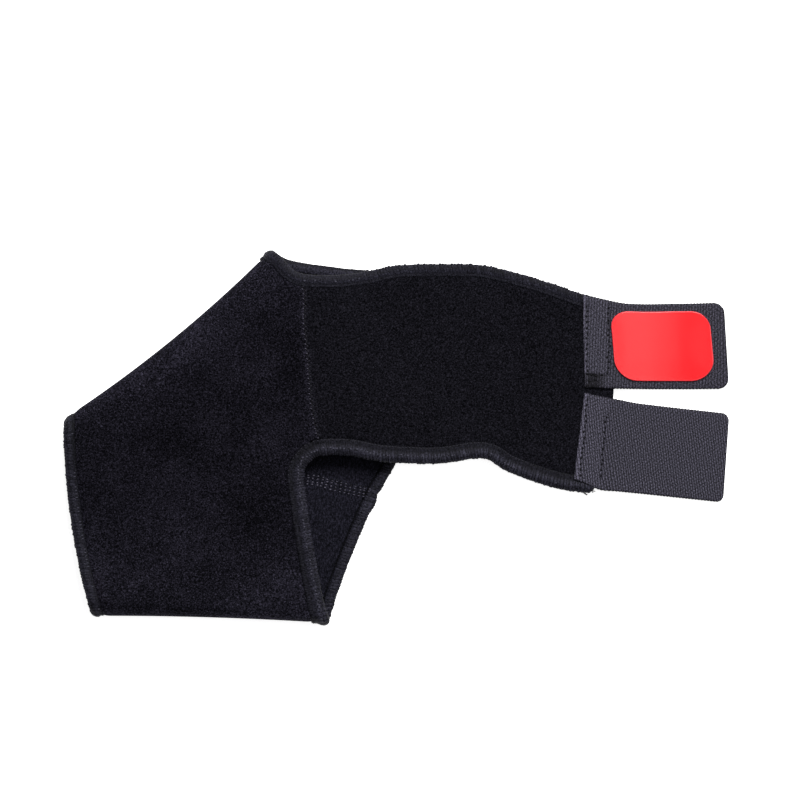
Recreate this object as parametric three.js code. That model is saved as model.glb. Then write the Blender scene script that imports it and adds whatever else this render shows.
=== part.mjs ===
// Ankle compression sleeve, laid flat: a neoprene foot tube with open toe and heel, a wide ankle band
// sewn to its upper layer, overlocked edges, and two hook tabs at the band's end, one with a moulded patch.
// Millimetres, +Z up. The origin is on the floor, under the middle of the whole outline.
// The toe opening faces -X, the sole fold is along -Y and the leg opening faces +Y.

import * as THREE from "three";

// Driving sizes
const WALL = 3; // neoprene laminated between two cloths
const FOLD_HEIGHT = 16; // outside height of the flattened tube at its two folds
const LAYER_SAG = 2.5; // how far the upper layer sinks between the folds
const HEEL_EDGING_WIDTH = 7; // overlocked edges: how much of each shows from above
const LEG_EDGING_WIDTH = 4.8;
const TOE_EDGING_WIDTH = 5;
const GAP = 0.3; // clearance between neighbouring pieces
const TAB_THICKNESS = 1.4; // hook tape
const TAB_CORNER = 5;
const PATCH_THICKNESS = 0.9;
const PATCH_CORNER = 9;
const TOE_BULGE = 3.5; // the toe edge bows outwards
const SEAM_BULGE = 1.2; // the band's seam bows towards the toe
const SEAM_FROM = 0.46; // shares of the upper layer, from sole to instep, where the seam starts and ends
const SEAM_TO = 0.88;
const FLAP_CORNER = 0.64; // share of the lower layer's edge where its two edgings meet, under the band

// Where the four corners of the foot tube lie in plan, and how far its two folds bow inwards
const TOE_SOLE = new THREE.Vector2(-151.5, -88.8);
const TOE_INSTEP = new THREE.Vector2(-165.5, 8.6);
const HEEL_SOLE = new THREE.Vector2(-33.2, -92.4);
const LEG_INSTEP = new THREE.Vector2(-62.4, 93.6);
const SOLE_BOW = new THREE.Vector2(0, 0.8);
const INSTEP_BOW = new THREE.Vector2(1.8, -2.2);

// Upper layer: outer edge of the heel opening, from above the sole fold to the band's seam
const UPPER_HEEL_EDGE = [
  { x: -36.3, y: -79.2 },
  { x: -41.0, y: -53.5 },
  { x: -44.6, y: -27.5 },
  { x: -45.4, y: -17.6 },
  { x: -42.2, y: -11.8 },
];

// Upper layer: outer edge of the leg opening, from beside the instep fold to the band's seam
const UPPER_LEG_EDGE = [
  { x: -57.4, y: 89.7 },
  { x: -52.7, y: 84.6 },
];

// Lower layer: outer edge from above the sole fold, up the heel opening and round the flap under the band,
// to the instep fold
const LOWER_EDGE = [
  { x: -27.2, y: -70.8 },
  { x: -11.8, y: -34.3 },
  { x: 0.6, y: -11.3 },
  { x: 9.3, y: 14.0 },
  { x: 14.6, y: 50.0 },
  { x: 12.0, y: 73.0 },
  { x: 2.0, y: 81.4 },
  { x: -27.8, y: 84.8 },
  { x: -52.0, y: 88.5 },
];

// Ankle band: one row for each section from the seam to its end, with both outer edges and the height of its
// underside. At the seam the height is the upper layer's own instead, and the first rows blend the two.
const BAND = [
  { topX: -46.2, topY: 81.7, lowX: -36.7, lowY: -9.0, lift: 10.5 },
  { topX: -30.2, topY: 81.0, lowX: -23.2, lowY: -8.8, lift: 10.3 },
  { topX: -15.2, topY: 82.7, lowX: -9.7, lowY: -11.2, lift: 9.6 },
  { topX: 1.3, topY: 86.0, lowX: 4.8, lowY: -12.4, lift: 8.4 },
  { topX: 22.3, topY: 86.6, lowX: 22.3, lowY: -12.6, lift: 6.9 },
  { topX: 41.3, topY: 86.3, lowX: 38.2, lowY: -10.0, lift: 5.6 },
  { topX: 52.3, topY: 84.3, lowX: 46.3, lowY: -10.5, lift: 4.2 },
  { topX: 64.8, topY: 81.1, lowX: 54.8, lowY: -16.0, lift: 2.0 },
  { topX: 79.8, topY: 76.5, lowX: 69.8, lowY: -22.0, lift: 0.4 },
  { topX: 93.8, topY: 71.6, lowX: 86.3, lowY: -26.3, lift: 0 },
  { topX: 111.0, topY: 67.2, lowX: 106.4, lowY: -28.2, lift: 0 },
];
// The band's two edgings stop at the tabs, cut to the tabs' slant: rows of the cut's outer and inner end
const TOP_EDGING_END = { outer: 8.93, inner: 9.03 };
const LOW_EDGING_END = { outer: 9.59, inner: 9.62 };

// Hook tabs: one row for each section from the stitched base to the free end
const UPPER_TAB = [
  { topX: 93.4, topY: 71.7, lowX: 94.4, lowY: 25.2, lift: 3.3 },
  { topX: 104.0, topY: 69.2, lowX: 104.0, lowY: 24.8, lift: 3.3 },
  { topX: 113.0, topY: 67.3, lowX: 113.0, lowY: 24.7, lift: 3.3 },
  { topX: 120.0, topY: 66.8, lowX: 120.0, lowY: 24.6, lift: 1.9 },
  { topX: 128.0, topY: 66.7, lowX: 128.0, lowY: 24.5, lift: 0.5 },
  { topX: 138.0, topY: 66.9, lowX: 138.6, lowY: 24.5, lift: 0 },
  { topX: 163.8, topY: 67.3, lowX: 166.2, lowY: 24.6, lift: 0 },
];
const LOWER_TAB = [
  { topX: 94.3, topY: 22.4, lowX: 90.3, lowY: -19.0, lift: 3.3 },
  { topX: 104.0, topY: 20.5, lowX: 99.4, lowY: -19.5, lift: 3.3 },
  { topX: 107.0, topY: 19.8, lowX: 103.0, lowY: -25.8, lift: 3.3 },
  { topX: 113.0, topY: 18.7, lowX: 110.0, lowY: -26.4, lift: 3.3 },
  { topX: 120.0, topY: 17.3, lowX: 117.0, lowY: -27.2, lift: 1.9 },
  { topX: 128.0, topY: 16.3, lowX: 125.0, lowY: -28.1, lift: 0.5 },
  { topX: 138.0, topY: 15.1, lowX: 135.2, lowY: -29.2, lift: 0 },
  { topX: 166.2, topY: 11.8, lowX: 163.4, lowY: -32.2, lift: 0 },
];

// Patch on the upper tab: how far its left, right, upper and lower edges lie from the tab's own
const PATCH = { baseMargin: 14.4, endMargin: 8.2, topMargin: 3.9, lowMargin: 3.7 };

// Overlocked edge in section: share of its width from the cloth outwards, and half its thickness there
const EDGING_SECTION = [
  { across: GAP / LEG_EDGING_WIDTH, half: 1.6 },
  { across: 0.35, half: 2.1 },
  { across: 0.75, half: 1.9 },
  { across: 0.94, half: 1.2 },
  { across: 1, half: 0.4 },
];

// How finely each piece is divided
const TUBE_ROWS = 10; // from toe to heel
const HEEL_STEPS = 9;
const SEAM_STEPS = 10;
const LEG_STEPS = 4;
const LOWER_STEPS = 26;
const FOLD_STEPS = 8;
const BAND_STEPS = 3; // between two rows of the band's table
const TAB_STEPS = 16;
const CORNER_STEPS = 5;
const FOLD_BLEND = 14; // length over which an edge turns to follow its fold
const SEAM_BLEND = 3; // rows over which the band leaves the seam's curve and height
const LAST_ROW_SPACING = 0.1; // least share of a row between an edging's cut end and the section before it

// Looks, matched to the cloths: looped pile, overlock thread, hook tape and moulded rubber
const PILE = { color: 0x15141a, roughness: 0.95, metalness: 0 };
const THREAD = { color: 0x26252c, roughness: 0.8, metalness: 0 };
const HOOK_TAPE = { color: 0x3e3c48, roughness: 0.85, metalness: 0 };
const RUBBER = { color: 0xfe3f46, roughness: 0.4, metalness: 0 };

const lerp = THREE.MathUtils.lerp;
const vector = ({ x, y }) => new THREE.Vector2(x, y);
const steps = (count, from, to) => Array.from({ length: count + 1 }, (_, i) => lerp(from, to, i / count));

// A closed solid skinned over loops of equal length, each an outer side followed by its inner side reversed.
// A ring of loops closes on itself. An open row of loops gets an end cap at each end.
function skin(loops, ring) {
  const size = loops[0].length;
  const positions = loops.flatMap((loop) => loop.flatMap((p) => [p.x, p.y, p.z]));
  const at = (i, j) => (i % loops.length) * size + (j % size);
  const index = [];
  const quad = (a, b, c, d) => index.push(a, b, c, a, c, d);
  for (let i = 0; i < loops.length - (ring ? 0 : 1); i++) {
    for (let j = 0; j < size; j++) quad(at(i, j), at(i, j + 1), at(i + 1, j + 1), at(i + 1, j));
  }
  if (!ring) {
    const last = loops.length - 1;
    for (let j = 0; j < size / 2 - 1; j++) {
      const mirrored = size - 1 - j;
      quad(at(0, j), at(0, mirrored), at(0, mirrored - 1), at(0, j + 1));
      quad(at(last, j), at(last, j + 1), at(last, mirrored - 1), at(last, mirrored));
    }
  }
  const geometry = new THREE.BufferGeometry();
  geometry.setAttribute("position", new THREE.Float32BufferAttribute(positions, 3));
  geometry.setIndex(index);
  geometry.computeVertexNormals();
  return geometry;
}

// The point of an edge curve, and the point one edging width inside it. Beside a fold the way in follows it.
function edgePair(curve, t, side, width, folds) {
  const outer = curve.getPoint(t);
  const tangent = curve.getTangent(t);
  const inward = new THREE.Vector2(-tangent.y, tangent.x).multiplyScalar(side);
  const way = inward.clone();
  for (const { corner, direction } of folds) {
    way.lerp(direction, Math.max(0, 1 - outer.distanceTo(corner) / FOLD_BLEND));
  }
  way.normalize();
  return { outer, inner: outer.clone().addScaledVector(way, width / way.dot(inward)) };
}

// Edge curves in plan, each as { outer, inner } pairs from the sole fold to the instep fold
const LEFT = 1; // the cloth lies to the left of the way the curve runs
const RIGHT = -1;
const towards = (from, to) => to.clone().sub(from).normalize();
const bowed = (from, to, bow) => {
  const middle = from.clone().lerp(to, 0.5);
  const out = new THREE.Vector2(from.y - to.y, to.x - from.x).normalize();
  return new THREE.QuadraticBezierCurve(from, middle.addScaledVector(out, 2 * bow), to);
};
const SOLE_FOLDS = {
  toe: { corner: TOE_SOLE, direction: towards(TOE_SOLE, HEEL_SOLE) },
  heel: { corner: HEEL_SOLE, direction: towards(HEEL_SOLE, TOE_SOLE) },
};
const INSTEP_FOLDS = {
  toe: { corner: TOE_INSTEP, direction: towards(TOE_INSTEP, LEG_INSTEP) },
  leg: { corner: LEG_INSTEP, direction: towards(LEG_INSTEP, TOE_INSTEP) },
};

const toeCurve = bowed(TOE_SOLE, TOE_INSTEP, TOE_BULGE);
const heelBandCurve = new THREE.SplineCurve([
  HEEL_SOLE,
  ...UPPER_HEEL_EDGE.map(vector),
  ...BAND.map((row) => new THREE.Vector2(row.lowX, row.lowY)),
]);
const legBandCurve = new THREE.SplineCurve([
  LEG_INSTEP,
  ...UPPER_LEG_EDGE.map(vector),
  ...BAND.map((row) => new THREE.Vector2(row.topX, row.topY)),
]);
const lowerCurve = new THREE.SplineCurve([HEEL_SOLE, ...LOWER_EDGE.map(vector), LEG_INSTEP]);

const heelRows = UPPER_HEEL_EDGE.length + 1;
const legRows = UPPER_LEG_EDGE.length + 1;
const onHeelBand = (row) => row / (heelRows + BAND.length - 1);
const onLegBand = (row) => row / (legRows + BAND.length - 1);
const toePair = (s) =>
  edgePair(toeCurve, s, RIGHT, TOE_EDGING_WIDTH, [SOLE_FOLDS.toe, INSTEP_FOLDS.toe]);
const heelPair = (row) =>
  edgePair(heelBandCurve, onHeelBand(row), LEFT, HEEL_EDGING_WIDTH, [SOLE_FOLDS.heel]);
const legPair = (row) =>
  edgePair(legBandCurve, onLegBand(row), RIGHT, LEG_EDGING_WIDTH, [INSTEP_FOLDS.leg]);
const lowerPair = (s) =>
  edgePair(lowerCurve, s, LEFT, HEEL_EDGING_WIDTH, [SOLE_FOLDS.heel, INSTEP_FOLDS.leg]);

// The upper layer's heel end runs up the heel edge, along the band's seam and up the leg edge
const seamLow = heelPair(heelRows).inner;
const seamTop = legPair(legRows).inner;
const seamCurve = bowed(seamLow, seamTop, SEAM_BULGE);

function upperEnd(s) {
  if (s <= SEAM_FROM) return heelPair((s / SEAM_FROM) * heelRows);
  if (s >= SEAM_TO) return legPair(((1 - s) / (1 - SEAM_TO)) * legRows);
  const point = seamCurve.getPoint((s - SEAM_FROM) / (SEAM_TO - SEAM_FROM));
  return { outer: point, inner: point };
}

// Plan position in one layer, at share u from the toe to the heel end and share s from the sole to the instep
function layerPoint(heelEnd, u, s) {
  const bow = 4 * u * (1 - u);
  return toePair(s)
    .inner.lerp(heelEnd(s).inner, u)
    .addScaledVector(SOLE_BOW, bow * (1 - s))
    .addScaledVector(INSTEP_BOW, bow * s);
}

// The tube's section as a flattened ring: shares across and heights, with each point's place round the ring
function ringStations() {
  const lower = steps(LOWER_STEPS, 0, 1).map((f) => ({ layer: "lower", f }));
  const instep = steps(FOLD_STEPS, -90, 90).map((angle) => ({ layer: "instep", angle }));
  const upper = [
    ...steps(LEG_STEPS, 1, SEAM_TO),
    ...steps(SEAM_STEPS, SEAM_TO, SEAM_FROM).slice(1),
    ...steps(HEEL_STEPS, SEAM_FROM, 0).slice(1),
  ].map((f) => ({ layer: "upper", f }));
  const sole = steps(FOLD_STEPS, 90, 270).map((angle) => ({ layer: "sole", angle }));
  return [...lower, ...instep.slice(1, -1), ...upper, ...sole.slice(1, -1)];
}

const FOLD_RADIUS = FOLD_HEIGHT / 2;

// Keeps a layer's stations clear of the two folds, and those on the seam where they are
function betweenFolds(f, foldShare) {
  if (f < SEAM_FROM) return lerp(foldShare, SEAM_FROM, f / SEAM_FROM);
  if (f > SEAM_TO) return lerp(1 - foldShare, SEAM_TO, (1 - f) / (1 - SEAM_TO));
  return f;
}

const RING = ringStations();
const sunk = (s) => LAYER_SAG * Math.sin(Math.PI * s) ** 2;

// A ring point. upper(s) and lower(s) give the two layers in plan, and out is the distance outside the wall's
// middle. The upper layer sinks between the folds.
function ringPoint(station, upper, lower, out) {
  const width = upper(0).distanceTo(upper(1));
  const foldShare = FOLD_RADIUS / width;
  const radius = FOLD_RADIUS - WALL / 2 + out;
  let s;
  let z;
  if (station.angle === undefined) {
    s = betweenFolds(station.f, foldShare);
    z = station.layer === "upper" ? FOLD_RADIUS + radius - sunk(s) : FOLD_RADIUS - radius;
  } else {
    const angle = THREE.MathUtils.degToRad(station.angle);
    const centre = station.layer === "sole" ? FOLD_RADIUS : width - FOLD_RADIUS;
    s = (centre + radius * Math.cos(angle)) / width;
    z = FOLD_RADIUS + radius * Math.sin(angle) - sunk(s) * Math.max(0, Math.sin(angle));
  }
  const share = THREE.MathUtils.clamp(s, 0, 1);
  const raised = station.angle === undefined ? Number(station.layer === "upper") : z / FOLD_HEIGHT;
  const plan = lower(share).lerp(upper(share), THREE.MathUtils.clamp(raised, 0, 1));
  return new THREE.Vector3(plan.x, plan.y, z);
}

// The same ring point on the cloth at share u, or on the outer line of the edging at the toe or the heel end
const clothPoint = (station, u, out) =>
  ringPoint(
    station,
    (s) => layerPoint(upperEnd, u, s),
    (s) => layerPoint(lowerPair, u, s),
    out,
  );
const toeLinePoint = (station) =>
  ringPoint(station, (s) => toePair(s).outer, (s) => toePair(s).outer, 0);
const heelLinePoint = (station) =>
  ringPoint(station, (s) => upperEnd(s).outer, (s) => lowerPair(s).outer, 0);

function footSleeve() {
  const shares = steps(TUBE_ROWS, 0, 1);
  const loops = RING.map((station) => [
    ...shares.map((u) => clothPoint(station, u, WALL / 2)),
    ...shares.toReversed().map((u) => clothPoint(station, u, -WALL / 2)),
  ]);
  return skin(loops.reverse(), true);
}

// Edging along stations { inner, outer, normal }. Its underside is pressed flat where it meets the floor.
function edging(stations, ring) {
  const loops = stations.map(({ inner, outer, normal }) => {
    const place = (side) => ({ across, half }) => {
      const p = inner.clone().lerp(outer, across).addScaledVector(normal, side * half);
      p.z = Math.max(0, p.z);
      return p;
    };
    return [...EDGING_SECTION.map(place(1)), ...EDGING_SECTION.toReversed().map(place(-1))];
  });
  return skin(loops, ring);
}

const ringNormal = (station, u) =>
  clothPoint(station, u, WALL / 2).sub(clothPoint(station, u, -WALL / 2)).normalize();
const toeStation = (station) => ({
  inner: clothPoint(station, 0, 0),
  outer: toeLinePoint(station),
  normal: ringNormal(station, 0),
});
const heelStation = (station) => ({
  inner: clothPoint(station, 1, 0),
  outer: heelLinePoint(station),
  normal: ringNormal(station, 1),
});

// Ankle band: its columns run on from the tube's stations along the seam
const UP = new THREE.Vector3(0, 0, 1);
const onSeam = ({ layer, f }) => layer === "upper" && f <= SEAM_TO && f >= SEAM_FROM;
const seamStations = RING.filter(onSeam).reverse();
const bandRows = steps((BAND.length - 1) * BAND_STEPS, 0, BAND.length - 1);
const liftCurve = new THREE.SplineCurve(BAND.map((row, i) => new THREE.Vector2(i, row.lift)));

function bandPoint(row, column) {
  const low = heelPair(heelRows + row).inner;
  const top = legPair(legRows + row).inner;
  const share = column / SEAM_STEPS;
  const plan = low.clone().lerp(top, share);
  const nearSeam = Math.max(0, 1 - row / SEAM_BLEND);
  const seam = seamCurve.getPoint(share);
  const seamShift = seam.sub(seamLow.clone().lerp(seamTop, share));
  plan.addScaledVector(seamShift, nearSeam).x += GAP * Number(row === 0);
  const lift = Math.max(0, liftCurve.getPoint(row / (BAND.length - 1)).y);
  const seamLift = clothPoint(seamStations[column], 1, -WALL / 2).z;
  return new THREE.Vector3(plan.x, plan.y, lerp(lift, seamLift, nearSeam ** 2));
}

function ankleBand() {
  const columns = steps(SEAM_STEPS, 0, SEAM_STEPS);
  const loops = bandRows.map((row) => [
    ...columns.map((column) => bandPoint(row, column).addScaledVector(UP, WALL)),
    ...columns.toReversed().map((column) => bandPoint(row, column)),
  ]);
  return skin(loops.reverse(), false);
}

function bandStation(pair, row, column) {
  const inner = bandPoint(row, column).addScaledVector(UP, WALL / 2);
  const outer = pair.outer;
  return { inner, outer: new THREE.Vector3(outer.x, outer.y, inner.z), normal: UP };
}
const lowBandStation = (row) => bandStation(heelPair(heelRows + row), row, 0);
const topBandStation = (row) => bandStation(legPair(legRows + row), row, SEAM_STEPS);
function bandEdge(stationAt, end) {
  const cut = { ...stationAt(end.inner), outer: stationAt(end.outer).outer };
  return [...bandRows.filter((row) => row > 0 && row < end.outer - LAST_ROW_SPACING).map(stationAt), cut];
}

// From the band's end along its lower edge, down the heel opening, round the sole and up under the band
function heelEdging() {
  const onBand = bandEdge(lowBandStation, LOW_EDGING_END).reverse();
  const onHeel = RING.filter(({ layer, f }) => layer === "upper" && f <= SEAM_FROM);
  const onSole = RING.filter(({ layer }) => layer === "sole");
  const onFlap = RING.filter(({ layer, f }) => layer === "lower" && f < FLAP_CORNER);
  return edging([...onBand, ...[...onHeel, ...onSole, ...onFlap].map(heelStation)].reverse(), false);
}

// From the flap under the band along the leg opening, round the instep and along the band's upper edge
function legEdging() {
  const onFlap = RING.filter(({ layer, f }) => layer === "lower" && f > FLAP_CORNER);
  const onInstep = RING.filter(({ layer }) => layer === "instep");
  const onLeg = RING.filter(({ layer, f }) => layer === "upper" && f >= SEAM_TO);
  const onBand = bandEdge(topBandStation, TOP_EDGING_END);
  return edging([...[...onFlap, ...onInstep, ...onLeg].map(heelStation), ...onBand].reverse(), false);
}

const toeEdging = () => edging(RING.map(toeStation), true);

// A strip lofted through a table of sections and trimmed by margins, with its corners rounded at the start,
// the end or both
function strip(table, thickness, options) {
  const { startCorner = 0, endCorner = 0, lift = 0, margins = {} } = options;
  const { baseMargin = 0, endMargin = 0, topMargin = 0, lowMargin = 0 } = margins;
  const last = table.length - 1;
  const top = new THREE.SplineCurve(table.map((row) => new THREE.Vector2(row.topX, row.topY)));
  const low = new THREE.SplineCurve(table.map((row) => new THREE.Vector2(row.lowX, row.lowY)));
  const lifts = new THREE.SplineCurve(table.map((row, i) => new THREE.Vector2(i, row.lift)));
  const length = top.getPoint(0).distanceTo(top.getPoint(1)) - baseMargin - endMargin;
  const corner = (radius) => steps(CORNER_STEPS, 0, Math.PI / 2).map((a) => radius * (1 - Math.cos(a)));
  const places = [
    ...(startCorner ? corner(startCorner) : [0]),
    ...steps(TAB_STEPS, startCorner, length - endCorner).slice(1, -1),
    ...(endCorner ? corner(endCorner).reverse().map((d) => length - d) : [length]),
  ];
  const cut = (distance, radius) => {
    const inside = Math.max(0, radius - distance);
    return radius - Math.sqrt(Math.max(0, radius * radius - inside * inside));
  };
  const baseX = table[0].topX;
  const reach = table[last].topX - baseX;
  const rowAt = (x) => {
    const i = THREE.MathUtils.clamp(table.findLastIndex((row) => row.topX <= x), 0, last - 1);
    return (i + (x - table[i].topX) / (table[i + 1].topX - table[i].topX)) / last;
  };
  const loops = places.map((place) => {
    const t = rowAt(baseX + ((baseMargin + place) / (length + baseMargin + endMargin)) * reach);
    const trim = cut(place, startCorner) + cut(length - place, endCorner);
    const a = top.getPoint(t);
    const b = low.getPoint(t);
    const across = b.clone().sub(a).normalize();
    a.addScaledVector(across, topMargin + trim);
    b.addScaledVector(across, -lowMargin - trim);
    const z = Math.max(0, lifts.getPoint(t).y) + lift;
    return [
      new THREE.Vector3(a.x, a.y, z + thickness),
      new THREE.Vector3(b.x, b.y, z + thickness),
      new THREE.Vector3(b.x, b.y, z),
      new THREE.Vector3(a.x, a.y, z),
    ];
  });
  return skin(loops, false);
}

function piece(name, geometry, look) {
  const mesh = new THREE.Mesh(geometry, new THREE.MeshStandardMaterial(look));
  mesh.name = name;
  return mesh;
}

const ankleSleeve = new THREE.Group();
ankleSleeve.add(
  piece("foot_sleeve", footSleeve(), PILE),
  piece("ankle_band", ankleBand(), PILE),
  piece("toe_edging", toeEdging(), THREAD),
  piece("heel_edging", heelEdging(), THREAD),
  piece("leg_edging", legEdging(), THREAD),
  piece("hook_tab_upper", strip(UPPER_TAB, TAB_THICKNESS, { endCorner: TAB_CORNER }), HOOK_TAPE),
  piece("hook_tab_lower", strip(LOWER_TAB, TAB_THICKNESS, { endCorner: TAB_CORNER }), HOOK_TAPE),
  piece(
    "tab_patch",
    strip(UPPER_TAB, PATCH_THICKNESS, {
      startCorner: PATCH_CORNER,
      endCorner: PATCH_CORNER,
      lift: TAB_THICKNESS + GAP,
      margins: PATCH,
    }),
    RUBBER,
  ),
);

// Centre the whole over the origin
const middle = new THREE.Box3().setFromObject(ankleSleeve).getCenter(new THREE.Vector3());
for (const mesh of ankleSleeve.children) mesh.geometry.translate(-middle.x, -middle.y, 0);

export default ankleSleeve;
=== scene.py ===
import math

import bpy
import numpy as np
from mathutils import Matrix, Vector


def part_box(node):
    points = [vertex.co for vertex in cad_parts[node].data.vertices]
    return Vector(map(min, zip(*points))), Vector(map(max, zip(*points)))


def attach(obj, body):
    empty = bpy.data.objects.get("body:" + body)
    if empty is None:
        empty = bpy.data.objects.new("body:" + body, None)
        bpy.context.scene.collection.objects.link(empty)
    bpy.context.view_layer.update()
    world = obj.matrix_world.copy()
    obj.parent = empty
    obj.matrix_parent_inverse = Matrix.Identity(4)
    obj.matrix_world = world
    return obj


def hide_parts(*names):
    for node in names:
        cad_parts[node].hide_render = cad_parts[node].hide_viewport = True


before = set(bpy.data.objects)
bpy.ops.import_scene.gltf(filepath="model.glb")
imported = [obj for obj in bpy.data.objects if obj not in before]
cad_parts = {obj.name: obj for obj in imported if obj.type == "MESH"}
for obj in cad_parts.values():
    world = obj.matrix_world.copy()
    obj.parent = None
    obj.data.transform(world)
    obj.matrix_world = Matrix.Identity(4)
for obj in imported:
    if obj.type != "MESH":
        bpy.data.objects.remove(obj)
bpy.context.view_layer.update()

mm = 0.001  # every size below is in millimetres
randomDraws = np.random.default_rng(7)
up = np.array([0.0, 0.0, 1.0])


# The sleeve as it lies: x towards the hook tabs, y towards the leg opening, z up from the floor
sleeve = {
    "wall": 3.0,  # neoprene laminated between two cloths
    "foldHeight": 16.0,  # outside height of the flattened tube at its folds
    "layerSag": 2.5,
    "heelEdging": 8.3,  # how much of each overlocked edge shows from above
    "legEdging": 6.0,
    "toeEdging": 5.6,
    "toeBulge": 3.5,
    "seamBulge": 1.2,
    "seamFrom": 0.46,  # shares of the upper layer, from sole to instep, where the band is sewn on
    "seamTo": 0.88,
    "seamBlend": 3.0,  # rows of the band that still follow the seam
    "flapCorner": 0.64,  # share of the lower layer where its two edgings meet, and the gap between them
    "flapGap": 0.006,
    "foldBlend": 14.0,
    "toeSole": (-151.5, -88.8),
    "toeInstep": (-165.5, 8.6),
    "heelSole": (-33.1, -92.3),
    "legInstep": (-61.3, 93.5),
    "soleBow": (0.0, 0.8),
    "instepBow": (1.8, -2.2),
}
upperHeelEdge = [(-36.3, -79.2), (-41.0, -53.5), (-44.6, -27.5), (-45.4, -17.6), (-42.2, -11.8)]
upperLegEdge = [(-57.0, 90.2), (-52.4, 85.0)]
lowerEdge = [
    (-26.6, -71.1), (-11.6, -34.4), (0.7, -11.4), (9.3, 14.0), (14.6, 50.0),
    (12.0, 73.0), (2.0, 81.4), (-27.8, 84.8), (-52.0, 88.5),
]
# Each row of the band, and of the tabs below, is a top point, a low point and how far it lifts off the floor
bandRows = [
    ((-46.2, 81.7), (-36.7, -9.0), 10.5),
    ((-30.2, 81.0), (-23.2, -9.1), 10.3),
    ((-15.2, 82.7), (-9.7, -11.6), 9.6),
    ((1.3, 86.0), (4.8, -12.8), 8.4),
    ((22.3, 86.6), (22.3, -13.0), 6.9),
    ((41.3, 86.3), (38.2, -10.7), 5.6),
    ((52.3, 84.3), (46.3, -11.2), 4.2),
    ((64.8, 81.1), (54.8, -16.4), 2.0),
    ((79.8, 76.5), (69.8, -22.3), 0.4),
    ((93.8, 71.6), (86.3, -26.6), 0.0),
    ((111.6, 67.2), (107.0, -28.2), 0.0),
]
bandTops, bandLows, bandLifts = zip(*bandRows)
lastBandRow = len(bandRows) - 1

# Soft swells of the upper layer and the band, where the cloth isn't pulled flat
swells = [
    {"place": (-112.0, -40.0), "reach": (34.0, 30.0), "height": -0.9},
    {"place": (-70.0, -58.0), "reach": (26.0, 24.0), "height": 0.9},
    {"place": (-95.0, 22.0), "reach": (36.0, 22.0), "height": 0.7},
    {"place": (-58.0, 18.0), "reach": (14.0, 42.0), "height": -0.8},
    {"place": (-12.0, 34.0), "reach": (30.0, 26.0), "height": 0.9},
    {"place": (18.0, 62.0), "reach": (22.0, 18.0), "height": -0.7},
]
upperHeights = (4.5, 10.5)  # the swells set in between these heights


# Curves and edges in plan
def splinePoint(points, share):
    points = np.asarray(points, float)
    last = len(points) - 1
    place = np.clip(share, 0, 1) * last
    number = np.floor(place).astype(int)
    part = (place - number)[..., None]
    before, start, end, after = (points[np.clip(number + step, 0, last)] for step in (-1, 0, 1, 2))
    leave = (end - before) / 2
    arrive = (after - start) / 2
    cubic = 2 * start - 2 * end + leave + arrive
    square = 3 * end - 3 * start - 2 * leave - arrive
    return ((cubic * part + square) * part + leave) * part + start


def splineLift(lifts, share):
    return np.maximum(0, splinePoint(np.reshape(lifts, (-1, 1)), share)[..., 0])


def bowedPoint(start, end, bulge, share):
    start = np.asarray(start, float)
    end = np.asarray(end, float)
    out = unit(np.array([start[1] - end[1], end[0] - start[0]]))
    control = (start + end) / 2 + out * 2 * bulge
    part = np.clip(share, 0, 1)[..., None]
    return (1 - part) ** 2 * start + 2 * part * (1 - part) * control + part**2 * end


def lengthOf(vectors):
    return np.linalg.norm(vectors, axis=-1)


def unit(vectors):
    return vectors / np.maximum(lengthOf(vectors)[..., None], 1e-9)


def awayFrom(place, points):
    # distance in plan
    return lengthOf(points[..., :2] - np.array(place))


def mix(a, b, share):
    return a + (b - a) * share


def smoothStep(low, high, value):
    part = np.clip((value - low) / (high - low), 0, 1)
    return part * part * (3 - 2 * part)


def bell(value):
    return np.exp(-(value**2))


def roundedOff(radius, away):
    # how far a quarter round falls back, at a distance from the edge
    return radius - np.sqrt(np.maximum(0, radius**2 - np.maximum(0, radius - away) ** 2))


heelLinePoints = [sleeve["heelSole"], *upperHeelEdge, *bandLows]
legLinePoints = [sleeve["legInstep"], *upperLegEdge, *bandTops]
lowerLinePoints = [sleeve["heelSole"], *lowerEdge, sleeve["legInstep"]]
heelSteps = len(upperHeelEdge) + 1  # rows of the heel line before the band
legSteps = len(upperLegEdge) + 1
clothOnLeft, clothOnRight = 1, -1


def foldAt(corner, other):
    start = np.array(sleeve[corner])
    return start, unit(np.array(sleeve[other]) - start)


def edgePair(line, place, side, width, folds):
    # the outer line, and the line one edging width inside it, which follows the fold beside a fold
    nudge = 0.001
    outer = line(place)
    ahead = unit(line(place + nudge) - line(place - nudge))
    inward = np.stack([-ahead[..., 1], ahead[..., 0]], -1) * side
    way = inward
    for corner, direction in folds:
        near = np.clip(1 - awayFrom(corner, outer) / sleeve["foldBlend"], 0, 1)
        way = mix(way, direction, near[..., None])
    way = unit(way)
    reach = width / (way * inward).sum(-1)
    return outer, outer + way * reach[..., None]


def toePair(share):
    line = lambda place: bowedPoint(sleeve["toeSole"], sleeve["toeInstep"], sleeve["toeBulge"], place)
    folds = [foldAt("toeSole", "heelSole"), foldAt("toeInstep", "legInstep")]
    return edgePair(line, share, clothOnRight, sleeve["toeEdging"], folds)


def heelPair(row):
    line = lambda place: splinePoint(heelLinePoints, place / (len(heelLinePoints) - 1))
    return edgePair(line, row, clothOnLeft, sleeve["heelEdging"], [foldAt("heelSole", "toeSole")])


def legPair(row):
    line = lambda place: splinePoint(legLinePoints, place / (len(legLinePoints) - 1))
    return edgePair(line, row, clothOnRight, sleeve["legEdging"], [foldAt("legInstep", "toeInstep")])


def lowerPair(share):
    line = lambda place: splinePoint(lowerLinePoints, place)
    folds = [foldAt("heelSole", "toeSole"), foldAt("legInstep", "toeInstep")]
    return edgePair(line, share, clothOnLeft, sleeve["heelEdging"], folds)


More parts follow.
